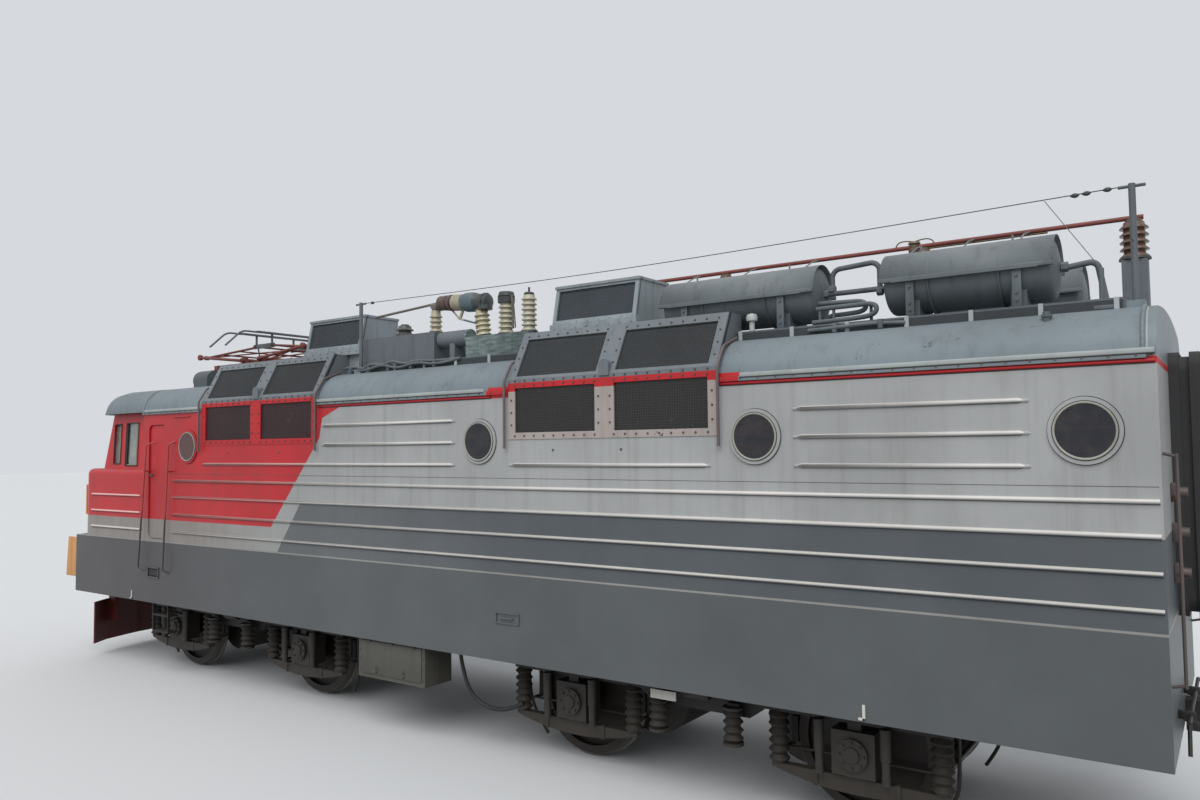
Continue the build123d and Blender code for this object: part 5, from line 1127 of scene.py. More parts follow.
# Pantograph. Welded tube arms on a base of channel rails, worn red-brown. Coil springs lie along the
# base and pull on the shaft levers, cross tubes tie each pair of arms, and caps close the knuckles.
PANTO_X = 4.35
PIVOT_HALF = 0.22
SHAFT_Z = 4.7
ARM_RUN = 1.104
ARM_RISE = 0.116
RAIL_Y = 0.53
RAIL_HALF = 1.0
KNUCKLE_Y = 0.6
SPRING_Y = 0.36
SPRING_Z = 4.632
BASE_BOLTS = (0.35, 0.62, 0.95)
KNUCKLE = ((0, 0.0), (0, 0.038), (0.02, 0.046), (0.055, 0.046), (0.065, 0.03), (0.065, 0.0))
COILS = [(0.0, 0.0)]
for step in range(24):
    COILS += [(0.002 + step * 0.02, 0.026), (0.012 + step * 0.02, 0.036)]
COILS += [(0.482, 0.026), (0.482, 0.0)]
rails = bmesh.new()
for side in (1, -1):
    for low, high in ((4.588, 4.598), (4.652, 4.66)):
        add_side_box(rails, side, (PANTO_X - RAIL_HALF, RAIL_Y - 0.045, low),
                     (PANTO_X + RAIL_HALF, RAIL_Y + 0.045, high), 0.002)
    for end in (1, -1):
        y = side * SPRING_Y
        add_lathe(rails, (PANTO_X + end * 0.3, y, SPRING_Z), (end, 0, 0), COILS, 12)
        add_rod(rails, (PANTO_X + end * 0.24, y, SPRING_Z), (PANTO_X + end * 0.8, y, SPRING_Z), 0.01, 8)
        low, high = sorted((PANTO_X + end * 0.79, PANTO_X + end * 0.81))
        add_box(rails, (low, y - 0.03, 4.6), (high, y + 0.03, 4.664), 0.003)
        for reach in BASE_BOLTS:
            add_bolt(rails, (PANTO_X + end * reach, side * RAIL_Y, 4.66), (0, 0, 1), 0.014, 0.01)
make_piece("panto_rails", rails, bus_paint, smooth=40)


def add_ties(shape, end, ties):
    """Tubes across a pair of arms. Each tie is its run and rise along an arm, half length and radius."""
    for run, rise, half, radius in ties:
        x = PANTO_X + end * (PIVOT_HALF + ARM_RUN * run)
        z = SHAFT_Z + ARM_RISE * rise
        add_rod(shape, (x, -half, z), (x, half, z), radius, 12)


for end, label in ((1, "front"), (-1, "rear")):
    lower = bmesh.new()
    add_ties(lower, end, ((0.34, 0.34, KNUCKLE_Y, 0.014), (0.66, 0.66, KNUCKLE_Y, 0.018)))
    for side in (1, -1):
        knuckle = (PANTO_X + end * (PIVOT_HALF + ARM_RUN), side * (KNUCKLE_Y - 0.025), SHAFT_Z + ARM_RISE)
        add_lathe(lower, knuckle, (0, side, 0), KNUCKLE, 20)
    make_piece(f"panto_ties_{label}", lower, bus_paint, body=f"panto_lower_{label}", smooth=40)
    upper = bmesh.new()
    add_ties(upper, end, ((0.7, 1.3, 0.44, 0.013), (0.38, 1.62, 0.375, 0.011)))
    make_piece(f"panto_braces_{label}", upper, bus_paint, body=f"panto_upper_{label}", smooth=40)


# Roof seams. Half-round cover strips of steel close the joints at the ends of each roof section. A row
# of bolts holds the gutter, whose pale lip is a painted highlight, above a red moulding; thin dark rods
# under the lip and under the moulding are painted shadow.
SHOULDER_Y = 1.2
SHOULDER_Z = 4.262
WALL_Y = 1.58
GUTTER_Z = 3.86
SECTION_ENDS = (3.998, 1.42, -1.74, -4.236, -7.52)
RIM_STEPS = 12
RIM_RADIUS = 0.013
GUTTER_BOLT_PITCH = 0.16
CROWN_Z = 4.332
GUTTER_SPANS = ((4.05, 5.5), (-1.68, 1.36), (-7.48, -4.3))
LIP_SPANS = ((4.0, 5.5), (-1.42, 1.42), (-7.59, -4.46))
MOULDING_SPANS = ((-1.5, 1.41), (-7.59, -4.25))
bolts = bmesh.new()
rims = bmesh.new()
for x in SECTION_ENDS:
    for side in (1, -1):
        bend = []
        for angle in spread(0, math.pi / 2, RIM_STEPS):
            y = SHOULDER_Y + (WALL_Y - SHOULDER_Y + 0.004) * math.cos(angle)
            z = GUTTER_Z + 0.045 + (SHOULDER_Z - GUTTER_Z - 0.041) * math.sin(angle)
            bend.append((x, side * y, z))
        bend.append((x, 0, CROWN_Z))
        for start, end in zip(bend, bend[1:]):
            add_rod(rims, start, end, RIM_RADIUS, 8)
for rear, front in GUTTER_SPANS:
    for x in spread(rear, front, int((front - rear) / GUTTER_BOLT_PITCH)):
        for side in (1, -1):
            add_bolt(bolts, (x, side * 1.608, GUTTER_Z + 0.02), (0, side, 0), 0.008, 0.006)
make_piece("roof_rims", rims, roof_paint, smooth=60)
# The gutter lip is coloured much paler than the roof as a painted highlight; the walkway straps share this
# paint.
lip_highlight_and_strap_paint = weathered("lip_highlight_and_strap_paint", (166, 172, 172), (100, 102, 100), (176, 178, 174), runs=0.3, settled=0.4,
                      chips=0.05, gloss=0.5)
lips = bmesh.new()
moulding = bmesh.new()
# Painted shadow: thin dark rods in seal rubber under the lip and under the moulding.
shadow = bmesh.new()
for side in (1, -1):
    for rear, front in LIP_SPANS:
        add_side_box(lips, side, (rear, 1.56, 3.893), (front, 1.612, 3.93), 0.006)
        add_rod(shadow, (rear, side * 1.604, 3.888), (front, side * 1.604, 3.888), 0.007, 8)
    for rear, front in MOULDING_SPANS:
        add_rod(moulding, (rear, side * 1.582, 3.842), (front, side * 1.582, 3.842), 0.013, 12)
        add_rod(shadow, (rear, side * 1.581, 3.824), (front, side * 1.581, 3.824), 0.0045, 8)
make_piece("gutter_lips", lips, lip_highlight_and_strap_paint, smooth=40)
make_piece("red_moulding", moulding, body_paint, smooth=60)
make_piece("painted_gutter_shadows", shadow, seal_rubber, smooth=60)
make_piece("gutter_bolts", bolts, bolt_steel)


# Side fittings. Steel strips welded round the foothold and round the recess with its bar, painted with
# the skirt, and a dark block in the back of the foothold as painted shade. Two small angle brackets on
# the skirt and a plain plate by the rear bogie are white.
SKIRT_Y = 1.58
pale_marks = weathered("pale_marks", (206, 206, 200), (120, 118, 112), (140, 136, 128), runs=0.3,
                       settled=0.2, chips=0.2, gloss=0.5)
RECESS = (-1.885, -1.56, 1.454, 1.575, 0.016)
FOOTHOLD = (5.07, 5.38, 1.425, 1.59, 0.022)
RECESS_BAR = (-1.8, -1.64, 1.515)


def add_frame(shape, side, rear, front, low, high, width):
    """Four strips round an opening in the skirt."""
    for x0, x1, z0, z1 in ((rear, front, low, low + width), (rear, front, high - width, high),
                           (rear, rear + width, low + width / 2, high - width / 2),
                           (front - width, front, low + width / 2, high - width / 2)):
        add_side_box(shape, side, (x0, SKIRT_Y, z0), (x1, SKIRT_Y + 0.014, z1), 0.002)


fittings = bmesh.new()
marks = bmesh.new()
foothold_shade = bmesh.new()
for side in (1, -1):
    for x in (-5.494, 5.822):
        add_side_box(marks, side, (x - 0.012, SKIRT_Y, 1.075), (x + 0.012, SKIRT_Y + 0.012, 1.2), 0.002)
        add_side_box(marks, side, (x - 0.012, SKIRT_Y, 1.075), (x + 0.045, SKIRT_Y + 0.012, 1.095), 0.002)
    add_frame(fittings, side, *RECESS)
    rear, front, z = RECESS_BAR
    add_rod(fittings, (rear, side * 1.6, z), (front, side * 1.6, z), 0.009, 8)
    for x in (rear, front):
        add_rod(fittings, (x, side * SKIRT_Y, z), (x, side * 1.6, z), 0.009, 8)
    add_frame(fittings, side, *FOOTHOLD)
    add_side_box(fittings, side, (4.3, 1.55, 3.795), (4.72, 1.6, 3.81), 0.004)
    # Painted shade: a dark block fills the back of the foothold.
    add_side_box(foothold_shade, side, (5.105, 1.54, 1.462), (5.345, 1.5825, 1.555), 0.002)
add_box(marks, (-3.63, 1.375, 0.9), (-3.35, 1.387, 0.985), 0.003)
make_piece("skirt_frames", fittings, body_paint)
make_piece("skirt_marks", marks, pale_marks)
make_piece("foothold_back_shade", foothold_shade, seal_rubber)


# Side door handles. A turned steel spindle stands on a round lock plate and carries a flat lever, one
# on the outside of each leaf.
LOCK_FACE = 1.56
LEVER_Y = 1.605
SPINDLE = ((0, 0.0), (0, 0.026), (0.012, 0.026), (0.014, 0.012), (0.05, 0.011), (0.05, 0.0))
for side, side_name in ((1, "left"), (-1, "right")):
    handle = bmesh.new()
    add_lathe(handle, (5.33, side * LOCK_FACE, 2.95), (0, side, 0), SPINDLE, 16)
    add_rod(handle, (5.33, side * LEVER_Y, 2.95), (5.23, side * LEVER_Y, 2.94), 0.010, 10)
    make_piece(f"door_handle_{side_name}", handle, bolt_steel, body=f"door_{side_name}",
               smooth=40)


# Running gear fittings. Bolted axle box covers, hoop clips on the leaf springs, telescopic dampers,
# brake rods and sand pipes, all under the same film of oil and brown dust.
PIVOTS = (("front", 3.75), ("rear", -3.75))
AXLE_STEP = 1.5
COVER_FACE = 1.225
COVER_BOLTS = 8
BOLT_CIRCLE = 0.108
COVER = ((0, 0.07), (0.016, 0.066), (0.022, 0.03), (0.022, 0.0))
LEAF_Y = 1.09
CLIP_HALF = 0.055
DAMPER = (
    ((0, 0.0), (0, 0.036), (0.24, 0.036), (0.24, 0.0)),
    ((0.2, 0.0), (0.2, 0.045), (0.46, 0.045), (0.46, 0.0)),
)
CYLINDER = ((0, 0.0), (0, 0.07), (0.02, 0.085), (0.26, 0.085), (0.3, 0.06), (0.3, 0.0))
ROD_Y = 0.9
ROD_HALF = 0.72
BEAM_Y = 0.805
SAND_ROUTE = ((0.18, 0.9, 0.93), (0.18, 0.9, 0.6), (0.14, 0.82, 0.32), (0, 0.79, 0.12))
oily_steel = weathered("oily_steel", splashed((44, 43, 42), (52, 46, 40)), SOOT, BROWN_DUST, runs=0.3,
                       settled=0.5, chips=0.1, gloss=0.42, metallic=0.3, bump=0.2)


def add_axle_fittings(fittings, rods, x, side):
    """The cover, clips, dampers and brake rod of one axle box."""
    outward = (0, side, 0)
    for step in range(COVER_BOLTS):
        angle = math.tau * step / COVER_BOLTS
        spot = (x + BOLT_CIRCLE * math.cos(angle), side * COVER_FACE,
                WHEEL_CENTRE + BOLT_CIRCLE * math.sin(angle))
        add_bolt(fittings, spot, outward, 0.014, 0.014)
    add_lathe(fittings, (x, side * COVER_FACE, WHEEL_CENTRE), outward, COVER, 24)
    for offset in (-0.36, 0.36):
        add_side_box(fittings, side, (x + offset - 0.022, LEAF_Y - CLIP_HALF, 0.315),
                     (x + offset + 0.022, LEAF_Y + CLIP_HALF, 0.452), 0.004)
    for offset in (-0.29, 0.29):
        for outline in DAMPER:
            add_lathe(fittings, (x + offset, side * 1.215, 0.46), (0, 0, 1), outline, 16)
        for z in (0.5, 0.9):
            add_rod(rods, (x + offset, side * 1.13, z), (x + offset, side * 1.25, z), 0.018, 10)
    add_rod(rods, (x - ROD_HALF, side * ROD_Y, 0.53), (x + ROD_HALF, side * ROD_Y, 0.53), 0.014, 8)
    for reach in (-ROD_HALF, ROD_HALF):
        add_rod(rods, (x + reach, side * BEAM_Y, 0.53), (x + reach, side * (ROD_Y + 0.02), 0.53), 0.016, 8)


for name, pivot in PIVOTS:
    fittings = bmesh.new()
    rods = bmesh.new()
    for side in (1, -1):
        for end in (1, -1):
            add_axle_fittings(fittings, rods, pivot + end * AXLE_STEP, side)
        for reach in (-2.15, -0.95, 0.95, 2.15):
            add_side_box(fittings, side, (pivot + reach - 0.07, 1.14, 0.93),
                         (pivot + reach + 0.07, 1.155, 1.13), 0.004)
        add_lathe(fittings, (pivot - 0.16, side * 1.23, 1.0), ALONG, CYLINDER, 24)
    for end in (1, -1):
        x = pivot + end * (AXLE_STEP + 0.708)
        add_rod(rods, (x, -BEAM_Y, 0.56), (x, BEAM_Y, 0.56), 0.024, 12)
    body = f"bogie_{name}"
    make_piece(f"axle_box_fittings_{name}", fittings, spring_paint, body=body, smooth=40)
    make_piece(f"brake_rods_{name}", rods, oily_steel, body=body, smooth=40)
    for number, (end, side) in enumerate(((1, 1), (1, -1), (-1, 1), (-1, -1))):
        wheel_x = pivot + end * (AXLE_STEP + 0.62)
        route = [(wheel_x + end * reach, side * y, z) for reach, y, z in SAND_ROUTE]
        add_pipe(f"sand_pipe_{name}_{number}", route, 0.017, oily_steel, body=body)


# Boxes under the body. Sheet steel cases with a flanged door, three hinges and two turn latches on
# each outer face. The paint has faded to a dull grey under brown dust.
BOX_REAR = -0.438
BOX_FRONT = 0.684
BOX_LOW = 0.6
BOX_FACE = 1.52
DOOR_HIGH = 1.03
LATCH = ((0, 0.0), (0, 0.022), (0.014, 0.02), (0.02, 0.0))
box_paint = weathered("box_paint", (78, 77, 71), (66, 60, 54), BROWN_DUST, fading=0.15, runs=0.5,
                      settled=0.5, chips=0.15, gloss=0.6, bump=0.2)
dress(box_paint, "equipment_boxes")
fittings = bmesh.new()
for side in (1, -1):
    add_side_box(fittings, side, (BOX_REAR + 0.05, BOX_FACE, BOX_LOW + 0.05),
                 (BOX_FRONT - 0.05, BOX_FACE + 0.012, DOOR_HIGH), 0.004)
    for x in (-0.25, 0.12, 0.5):
        y = side * (BOX_FACE + 0.014)
        add_rod(fittings, (x - 0.04, y, DOOR_HIGH), (x + 0.04, y, DOOR_HIGH), 0.012, 10)
    for x in (-0.1, 0.36):
        add_lathe(fittings, (x, side * (BOX_FACE + 0.012), BOX_LOW + 0.09), (0, side, 0), LATCH, 16)
        add_side_box(fittings, side, (x - 0.006, BOX_FACE + 0.024, BOX_LOW + 0.07),
                     (x + 0.006, BOX_FACE + 0.034, BOX_LOW + 0.15), 0.002)
    for x in (BOX_REAR + 0.03, BOX_FRONT - 0.03):
        for z in (0.68, 0.8, 0.92):
            add_bolt(fittings, (x, side * BOX_FACE, z), (0, side, 0), 0.01, 0.008)
make_piece("box_doors", fittings, box_paint, smooth=30)


# Air lines under the skirt. Main and brake pipes run the length of the body on the inner side of the
# sills, clipped to them, and one rubber hose hangs in a loop to the rear bogie.
MAIN_LINES = ((1.36, 1.14, 0.021), (1.31, 1.12, 0.017))
LINE_SPANS = ((-7.3, -0.5), (0.75, 7.3))
CLIP_PLACES = (-7.0, -6.0, -4.4, -3.1, -1.7, 1.7, 3.1, 4.4, 6.0, 7.0)
lines = bmesh.new()
for side in (1, -1):
    for y, z, radius in MAIN_LINES:
        for rear, front in LINE_SPANS:
            add_rod(lines, (rear, side * y, z), (front, side * y, z), radius, 10)
    for x in CLIP_PLACES:
        add_side_box(lines, side, (x - 0.025, 1.28, 1.088), (x + 0.025, 1.4, 1.1), 0.002)
        add_side_box(lines, side, (x - 0.025, 1.385, 1.088), (x + 0.025, 1.4, 1.2), 0.002)
make_piece("air_lines", lines, oily_steel, smooth=40)
HOSE_ROUTE = ((-0.84, 1.375, 1.10), (-0.845, 1.37, 1.0), (-0.86, 1.35, 0.86), (-0.90, 1.33, 0.68),
              (-0.99, 1.30, 0.53), (-1.13, 1.27, 0.45), (-1.30, 1.24, 0.43), (-1.46, 1.20, 0.46),
              (-1.58, 1.165, 0.53))
HOSE_DIAMETER = 0.046
line = add_pipe("hose_line", HOSE_ROUTE, 0, seal_rubber)
line.data.resolution_u = 16
middle = [tuple(vert.co) for vert in bpy.data.meshes.new_from_object(line).vertices]
line.data.bevel_depth = HOSE_DIAMETER / 2
bpy.context.view_layer.update()
seen = bpy.context.evaluated_depsgraph_get()
hose = bpy.data.objects.new("bogie_hose", bpy.data.meshes.new_from_object(line.evaluated_get(seen)))
bpy.data.objects.remove(line)
scene.collection.objects.link(hose)
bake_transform(hose)


# Orange edge plates. Flat steel guards beside the front platform, cut back at the head, each with a
# tread strip, and a bar up the edge of the cab front. All are painted in one plain warning colour.
warning_paint = weathered("warning_paint", (206, 150, 92), (120, 84, 60), BROWN_DUST, fading=0.12, runs=0.35,
                          settled=0.3, chips=0.12, gloss=0.5)
GUARD_REAR = 7.6
GUARD_REACH = 7.93
GUARD_LOW = 1.29
GUARD_HEIGHT = 0.63
GUARD_OUTER = 1.578
plates = bmesh.new()
for side in (1, -1):
    guard = bmesh.ops.create_cube(plates, size=1)["verts"]
    bmesh.ops.scale(plates, vec=(GUARD_REACH - GUARD_REAR, 0.012, GUARD_HEIGHT), verts=guard)
    middle = ((GUARD_REACH + GUARD_REAR) / 2, side * (GUARD_OUTER - 0.006), GUARD_LOW + GUARD_HEIGHT / 2)
    bmesh.ops.translate(plates, vec=middle, verts=guard)
    head = [vert for vert in guard if vert.co.z > middle[2] and vert.co.x > middle[0]]
    bmesh.ops.translate(plates, vec=(-0.06, 0, 0), verts=head)
    add_side_box(plates, side, (GUARD_REAR, 1.3, 1.285), (GUARD_REACH, GUARD_OUTER, 1.297), 0.003)
    add_rod(plates, (7.38, side * 1.53, 2.3), (7.38, side * 1.53, 2.78), 0.014, 10)
make_piece("front_edge_plates", plates, warning_paint, smooth=40)


# Roof ventilation boxes. Grey sheet cases with one leaning screened face each, edged by an angle
# frame with screws and shut on top by a folded lid that stands a little proud.
VENT_SPANS = ((1.19, 2.3), (-3.05, -1.97))
VENT_FOOT = (1.1, 4.62)
VENT_HEAD = (1.01, 5.04)
VENT_INNER = 0.45
VENT_EDGE = 0.045
VENT_BOLT_GAPS = 7
vent_lean = math.atan2(VENT_FOOT[0] - VENT_HEAD[0], VENT_HEAD[1] - VENT_FOOT[1])
vent_normal = (0, math.cos(vent_lean), math.sin(vent_lean))


def on_vent(x, z, depth=0.0):
    """A place on the leaning face of a ventilation box."""
    return on_slope(VENT_FOOT, vent_lean, x, z, 1, depth)


def vent_colour(tree):
    """Grey case, with painted shade for the duct behind the leaning screen."""
    _, y, z = axes_of(tree, object_place(tree))
    duct_shade_mask = between(tree, slope_depth(tree, VENT_FOOT, vent_lean, y, z), -0.04, -0.022)
    share = times(tree, duct_shade_mask, calculate(tree, "GREATER_THAN", z, VENT_FOOT[1] + 0.03))
    # Painted shade: the face behind the screen is coloured dark blue-grey for the shadowed duct.
    return mix_colours(tree, share, (142, 151, 156), (70, 80, 88))


vent_paint = weathered("vent_paint", vent_colour, (64, 66, 68), (128, 130, 130), fading=0.14, runs=0.4,
                       settled=0.4, chips=0.12, gloss=0.55, bump=0.2)
dress(vent_paint, "vent_boxes")
screens = bmesh.new()
fittings = bmesh.new()
for rear, front in VENT_SPANS:
    corner = on_vent(rear + VENT_EDGE, VENT_FOOT[1] + VENT_EDGE, 0.016)
    upward = on_vent(rear + VENT_EDGE, VENT_HEAD[1] - VENT_EDGE, 0.016) - corner
    add_screen(screens, corner, ALONG, upward.normalized(), front - rear - 2 * VENT_EDGE, upward.length)
    add_box(fittings, (rear - 0.012, VENT_INNER - 0.012, VENT_HEAD[1] - 0.02),
            (front + 0.012, VENT_HEAD[0] + 0.02, VENT_HEAD[1] + 0.012), 0.004)
    for x in spread(rear + 0.04, front - 0.04, VENT_BOLT_GAPS):
        add_bolt(fittings, on_vent(x, VENT_FOOT[1] + 0.02), vent_normal, 0.009, 0.007)
        add_bolt(fittings, (x, VENT_FOOT[0] + 0.02, 4.575), (0, 1, 0), 0.011, 0.009)
make_piece("vent_screens", screens, wire_steel)
make_piece("vent_fittings", fittings, vent_paint)


# Roof pipework and cables. Bent steel air pipes with union nuts join the reservoirs, armoured cables
# run along the roof edge in clips, and a white capped vent stands beside the rear intake.
vent_white = weathered("vent_white", (186, 190, 190), (110, 110, 106), (140, 140, 136), runs=0.4,
                       settled=0.3, chips=0.1, gloss=0.45)
brass_brown = weathered("brass_brown", (112, 98, 82), (78, 62, 50), (120, 112, 92), runs=0.3, settled=0.3,
                        chips=0.1, gloss=0.45, metallic=0.3)
PIPES = {
    "reservoir_loop_low": (
        (-4.9, 0.98, 4.4), (-5.3, 1.0, 4.4), (-5.5, 1.02, 4.42), (-5.5, 1.02, 4.52), (-5.3, 1.0, 4.52),
        (-4.94, 0.98, 4.52)),
    "reservoir_loop_high": (
        (-4.92, 0.9, 4.58), (-5.2, 0.92, 4.57), (-5.38, 0.94, 4.56), (-5.38, 0.94, 4.47),
        (-5.2, 0.92, 4.46), (-4.98, 0.9, 4.46), (-4.98, 0.9, 4.36)),
    "roof_cable_front": (
        (1.36, 1.19, 4.34), (1.1, 1.22, 4.35), (0.98, 1.24, 4.3), (0.82, 1.24, 4.37), (0.6, 1.23, 4.33),
        (0.42, 1.25, 4.38), (0.2, 1.23, 4.32), (0.02, 1.24, 4.36), (-0.3, 1.22, 4.33), (-0.7, 1.21, 4.34)),
    "roof_cable_low": (
        (1.2, 1.21, 4.3), (0.9, 1.25, 4.28), (0.62, 1.23, 4.35), (0.3, 1.26, 4.27), (0.0, 1.24, 4.34),
        (-0.35, 1.25, 4.28), (-0.62, 1.21, 4.33)),
    "roof_cable_rear": (
        (-4.95, 1.21, 4.3), (-5.2, 1.25, 4.3), (-5.5, 1.22, 4.32), (-5.8, 1.21, 4.3)),
}
VENT_STEM = ((0, 0.0), (0, 0.045), (0.012, 0.045), (0.014, 0.026), (0.17, 0.026))
VENT_CAP = ((0, 0.026), (0.0, 0.05), (0.03, 0.056), (0.06, 0.045), (0.075, 0.0))
ROOF_RODS = (
    ((-4.97, 0.98, 4.345), (-4.97, 0.98, 4.52), 0.014, 10),
    ((-5.1, 0.98, 4.345), (-5.1, 0.98, 4.52), 0.014, 10),
    ((-5.44, 0.98, 4.345), (-5.44, 0.98, 4.52), 0.014, 10),
    ((-6.9, 1.4, 4.14), (-6.9, 1.4, 4.26), 0.028, 12),
    ((-6.9, 1.4, 4.22), (-6.9, 1.4, 4.24), 0.042, 6),
    ((-7.235, 1.07, 4.33), (-7.235, 1.07, 4.6), 0.02, 10),
    ((-6.87, 1.11, 5.165), (-7.235, 1.07, 4.595), 0.003, 6),
)
PIPE_RADIUS = 0.022
CABLE_RADIUS = 0.017
for name, route in PIPES.items():
    add_pipe(name, route, CABLE_RADIUS if "cable" in name else PIPE_RADIUS, tank_paint)
fittings = bmesh.new()
for x, z in ((-4.96, 4.68), (-5.46, 4.66), (-5.02, 4.72), (-6.95, 4.69)):
    add_rod(fittings, (x - 0.025, 0.78, z), (x + 0.025, 0.78, z), 0.042, 6)
for x in (1.2, 0.86, 0.5, 0.1, -0.3, -5.2, -5.6):
    add_box(fittings, (x - 0.02, 1.16, 4.262), (x + 0.02, 1.25, 4.345), 0.003)
add_box(fittings, (-7.35, 1.04, 4.27), (-7.19, 1.2, 4.30), 0.004)
add_box(fittings, (-1.72, 0.42, 4.34), (0.98, 0.45, 4.66), 0.004)
for x in (-3.45, -4.1, -4.75, -5.75, -6.2, -6.65):
    add_rod(fittings, (x, 0.42, 5.09), (x + 0.04, 0.5, 5.06), 0.007, 8)
    add_rod(fittings, (x + 0.04, 0.5, 5.06), (x + 0.04, 0.72, 4.96), 0.007, 8)
for start, end, radius, sides in ROOF_RODS:
    add_rod(fittings, start, end, radius, sides)
make_piece("roof_unions", fittings, tank_paint, smooth=40)
CLAMP = Vector((-5.67, 0.42, 5.03))
CLAMP_KNOB = ((0, 0.0), (0, 0.05), (0.04, 0.055), (0.05, 0.036), (0.08, 0.04), (0.09, 0.056), (0.108, 0.048),
              (0.115, 0.0))
bus_knob = bmesh.new()
add_lathe(bus_knob, CLAMP, (0, 0, 1), CLAMP_KNOB, 24)
add_rod(bus_knob, (-5.72, 0.42, 5.064), (-6.78, 0.42, 5.064), 0.009, 8)
make_piece("bus_clamp", bus_knob, brass_brown, smooth=50)
for number, reach in enumerate((-0.17, 0.16)):
    loop = ((CLAMP.x, 0.42, 5.14), (CLAMP.x + reach * 0.5, 0.43, 5.16), (CLAMP.x + reach, 0.43, 5.14),
            (CLAMP.x + reach * 1.05, 0.42, 5.10))
    add_pipe(f"bus_loop_{number}", loop, 0.006, brass_brown)
cap = bmesh.new()
add_lathe(cap, (-4.36, 1.12, 4.28), (0, 0, 1), VENT_STEM, 20)
add_lathe(cap, (-4.36, 1.12, 4.45), (0, 0, 1), VENT_CAP, 20)
make_piece("capped_vent", cap, vent_white, smooth=50)


# Walkway boards. A dark board closes the gap between each roof walkway and the shoulder of the roof,
# clipped to the plank by pale steel straps.
WALKWAY_SPANS = ((-7.38, -4.24), (-1.7, 0.98))
CLIP_PITCH = 0.52
board_paint = weathered("board_paint", (52, 57, 61), SOOT, (84, 88, 90), runs=0.3, settled=0.3, chips=0.1,
                        gloss=0.7)
boards = bmesh.new()
clips = bmesh.new()
for rear, front in WALKWAY_SPANS:
    for side in (1, -1):
        add_side_box(boards, side, (rear, 1.185, 4.255), (front, 1.197, 4.335), 0.002)
        for x in spread(rear + 0.04, front - 0.04, round((front - rear) / CLIP_PITCH)):
            add_side_box(clips, side, (x - 0.018, 1.19, 4.25), (x + 0.018, 1.212, 4.352), 0.003)
make_piece("walkway_boards", boards, board_paint)
make_piece("walkway_clips", clips, lip_highlight_and_strap_paint)


# Ribs and seams. Pressed half-round ribs stiffen the side sheets. Their crests are pale, partly worn
# paint and partly a painted highlight where they face the sky, and their undersides are dark as painted
# shade with some dirt. A sealed joint runs between the sheets.
WALL_RIBS = (
    (2.126, -7.585, 4.75), (2.378, -7.585, 4.75), (2.632, -7.585, 4.75), (2.870, -7.585, 4.75),
    (2.126, 5.59, 7.1), (2.378, 5.59, 7.1), (2.632, 5.59, 7.1),
    (3.112, -0.971, 3.98), (3.112, -4.149, -1.769), (3.112, -6.783, -4.946),
    (3.356, -0.973, 1.323), (3.356, -6.783, -4.946), (3.596, -0.973, 1.323), (3.596, -6.783, -4.946),
)
RIB_RADIUS = 0.0198
RIB_TIP = 0.07
DRAIN_HOLES = (-2.345, -3.177, 3.36, 2.2)
DRAIN_PLUG = ((0, 0.0), (0, 0.014), (0.006, 0.012), (0.006, 0.0))
CREST_WEAR_AND_HIGHLIGHT = (236, 230, 222)


def rib_colour(tree):
    """The livery, pale on what faces up as wear and painted highlight, and dark on what faces down as painted
    shade with dirt.
    """
    facing_up = axes_of(tree, node(tree, "ShaderNodeNewGeometry").outputs["Normal"])["Z"]
    worn_and_lit = ramp_of(tree, facing_up, -0.3, 0.3, 0.0, 0.58)
    tone = mix_colours(tree, worn_and_lit, livery_colour(tree), CREST_WEAR_AND_HIGHLIGHT)
    # Painted shade: what faces down turns soot-dark for the shadow under each rib, along with its dirt.
    return mix_colours(tree, ramp_of(tree, facing_up, -0.8, -0.3, 0.8, 0.0), tone, SOOT)


rib_paint_with_painted_light = weathered("rib_paint_with_painted_light", rib_colour, (84, 80, 76), CREST_WEAR_AND_HIGHLIGHT, fading=0.08, runs=0.12,
                      settled=0.15, chips=0.03, gloss=0.45)
joint_filler = weathered("joint_filler", (84, 86, 86), SOOT, (100, 96, 90), gloss=0.7)
ribs = bmesh.new()
seams = bmesh.new()
for side in (1, -1):
    y = side * SKIRT_Y
    for z, rear, front in WALL_RIBS:
        tail = rear if rear < -7 else rear + RIB_TIP
        nose = front - RIB_TIP if front < 7 else front
        add_rod(ribs, (tail, y, z), (nose, y, z), RIB_RADIUS, 12)
        if tail != rear:
            add_rod(ribs, (tail, y, z), (rear - 0.01, y, z), RIB_RADIUS, 12, 0.003)
        if nose != front:
            add_rod(ribs, (nose, y, z), (front + 0.01, y, z), RIB_RADIUS, 12, 0.003)
    add_rod(seams, (-7.58, side * 1.5792, 2.973), (4.86, side * 1.5792, 2.973), 0.003, 6)
    for x in DRAIN_HOLES:
        add_lathe(seams, (x, y, 3.266), (0, side, 0), DRAIN_PLUG, 12)
make_piece("rib_crests", ribs, rib_paint_with_painted_light, smooth=60)
make_piece("wall_seams", seams, joint_filler, smooth=60)


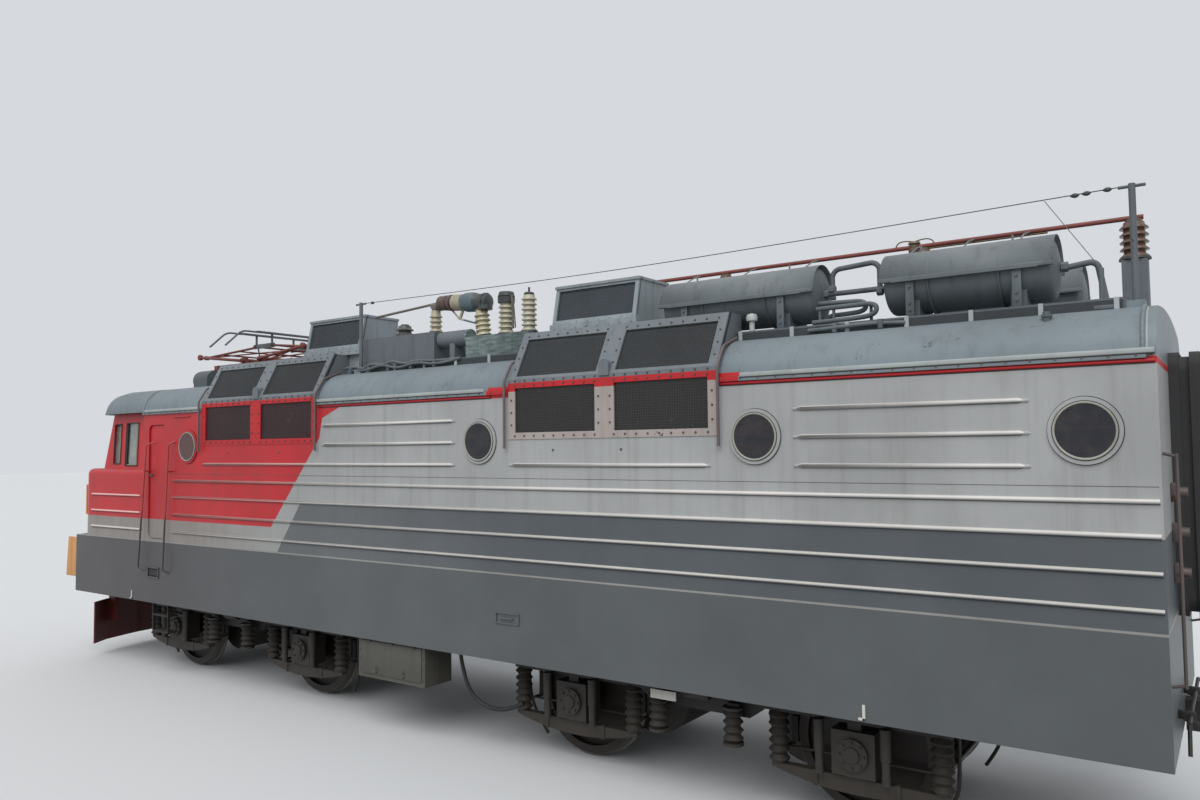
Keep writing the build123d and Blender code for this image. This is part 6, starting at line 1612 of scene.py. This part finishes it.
# Coupler gear at both ends. The uncoupling lever lies across the buffer beam in two eyes and lifts a
# chain at the coupler. An angle cock closes each brake pipe.
BEAM_FACE = 7.6
COUPLER_RODS = (
    ((7.68, -0.25, 1.32), (7.68, 1.25, 1.32), 0.014, 12),
    ((7.68, 1.25, 1.32), (7.68, 1.32, 1.12), 0.014, 12),
    ((7.68, -0.25, 1.32), (7.8, -0.25, 1.26), 0.014, 12),
    ((BEAM_FACE, 0.42, 1.17), (7.69, 0.42, 1.11), 0.027, 12),
    ((7.67, 0.42, 1.125), (7.70, 0.42, 1.09), 0.034, 6),
    ((BEAM_FACE, -0.42, 1.17), (7.69, -0.42, 1.11), 0.027, 12),
    ((7.67, -0.42, 1.125), (7.70, -0.42, 1.09), 0.034, 6),
)
gear = bmesh.new()
for end in (1, -1):
    for (start_x, *start), (stop_x, *stop), radius, sides in COUPLER_RODS:
        add_rod(gear, (end * start_x, *start), (end * stop_x, *stop), radius, sides)
    for y in (0.2, 1.0):
        low, high = sorted((end * BEAM_FACE, end * 7.71))
        add_box(gear, (low, y - 0.012, 1.29), (high, y + 0.012, 1.35), 0.003)
    for z in spread(1.25, 1.184, 3):
        add_rod(gear, (end * 7.8, -0.25, z), (end * 7.8, -0.246, z - 0.02), 0.006, 8)
make_piece("coupler_gear", gear, oily_steel, smooth=40)


# End fittings. Grab rails across the cab front, and rails and jumper sockets beside the rear gangway,
# all of bent steel bar and cast housings bolted to the end sheets.
END_RODS = (
    ((-7.6, 1.42, 1.6), (-7.68, 1.42, 1.62), 0.011, 10),
    ((-7.6, 1.42, 3.2), (-7.68, 1.42, 3.18), 0.011, 10),
    ((-7.68, 1.42, 1.6), (-7.68, 1.42, 3.2), 0.012, 12),
)
SOCKET = ((0, 0.0), (0, 0.042), (0.05, 0.038), (0.05, 0.0))
fittings = bmesh.new()
for side in (1, -1):
    for z in (2.05, 2.86):
        for y in (0.25, 0.95):
            add_rod(fittings, (7.42, side * y, z), (7.54, side * y, z), 0.011, 10)
        add_rod(fittings, (7.54, side * 0.2, z), (7.54, side * 1.0, z), 0.011, 12)
    for (x0, y0, z0), (x1, y1, z1), radius, sides in END_RODS:
        add_rod(fittings, (x0, side * y0, z0), (x1, side * y1, z1), radius, sides)
    for z in (2.3, 2.6, 2.9):
        add_side_box(fittings, side, (-7.66, 0.66, z - 0.07), (-7.6, 0.78, z + 0.07), 0.008)
        add_lathe(fittings, (-7.66, side * 0.72, z), (-1, 0, 0), SOCKET, 16)
make_piece("end_fittings", fittings, bolt_steel, smooth=40)
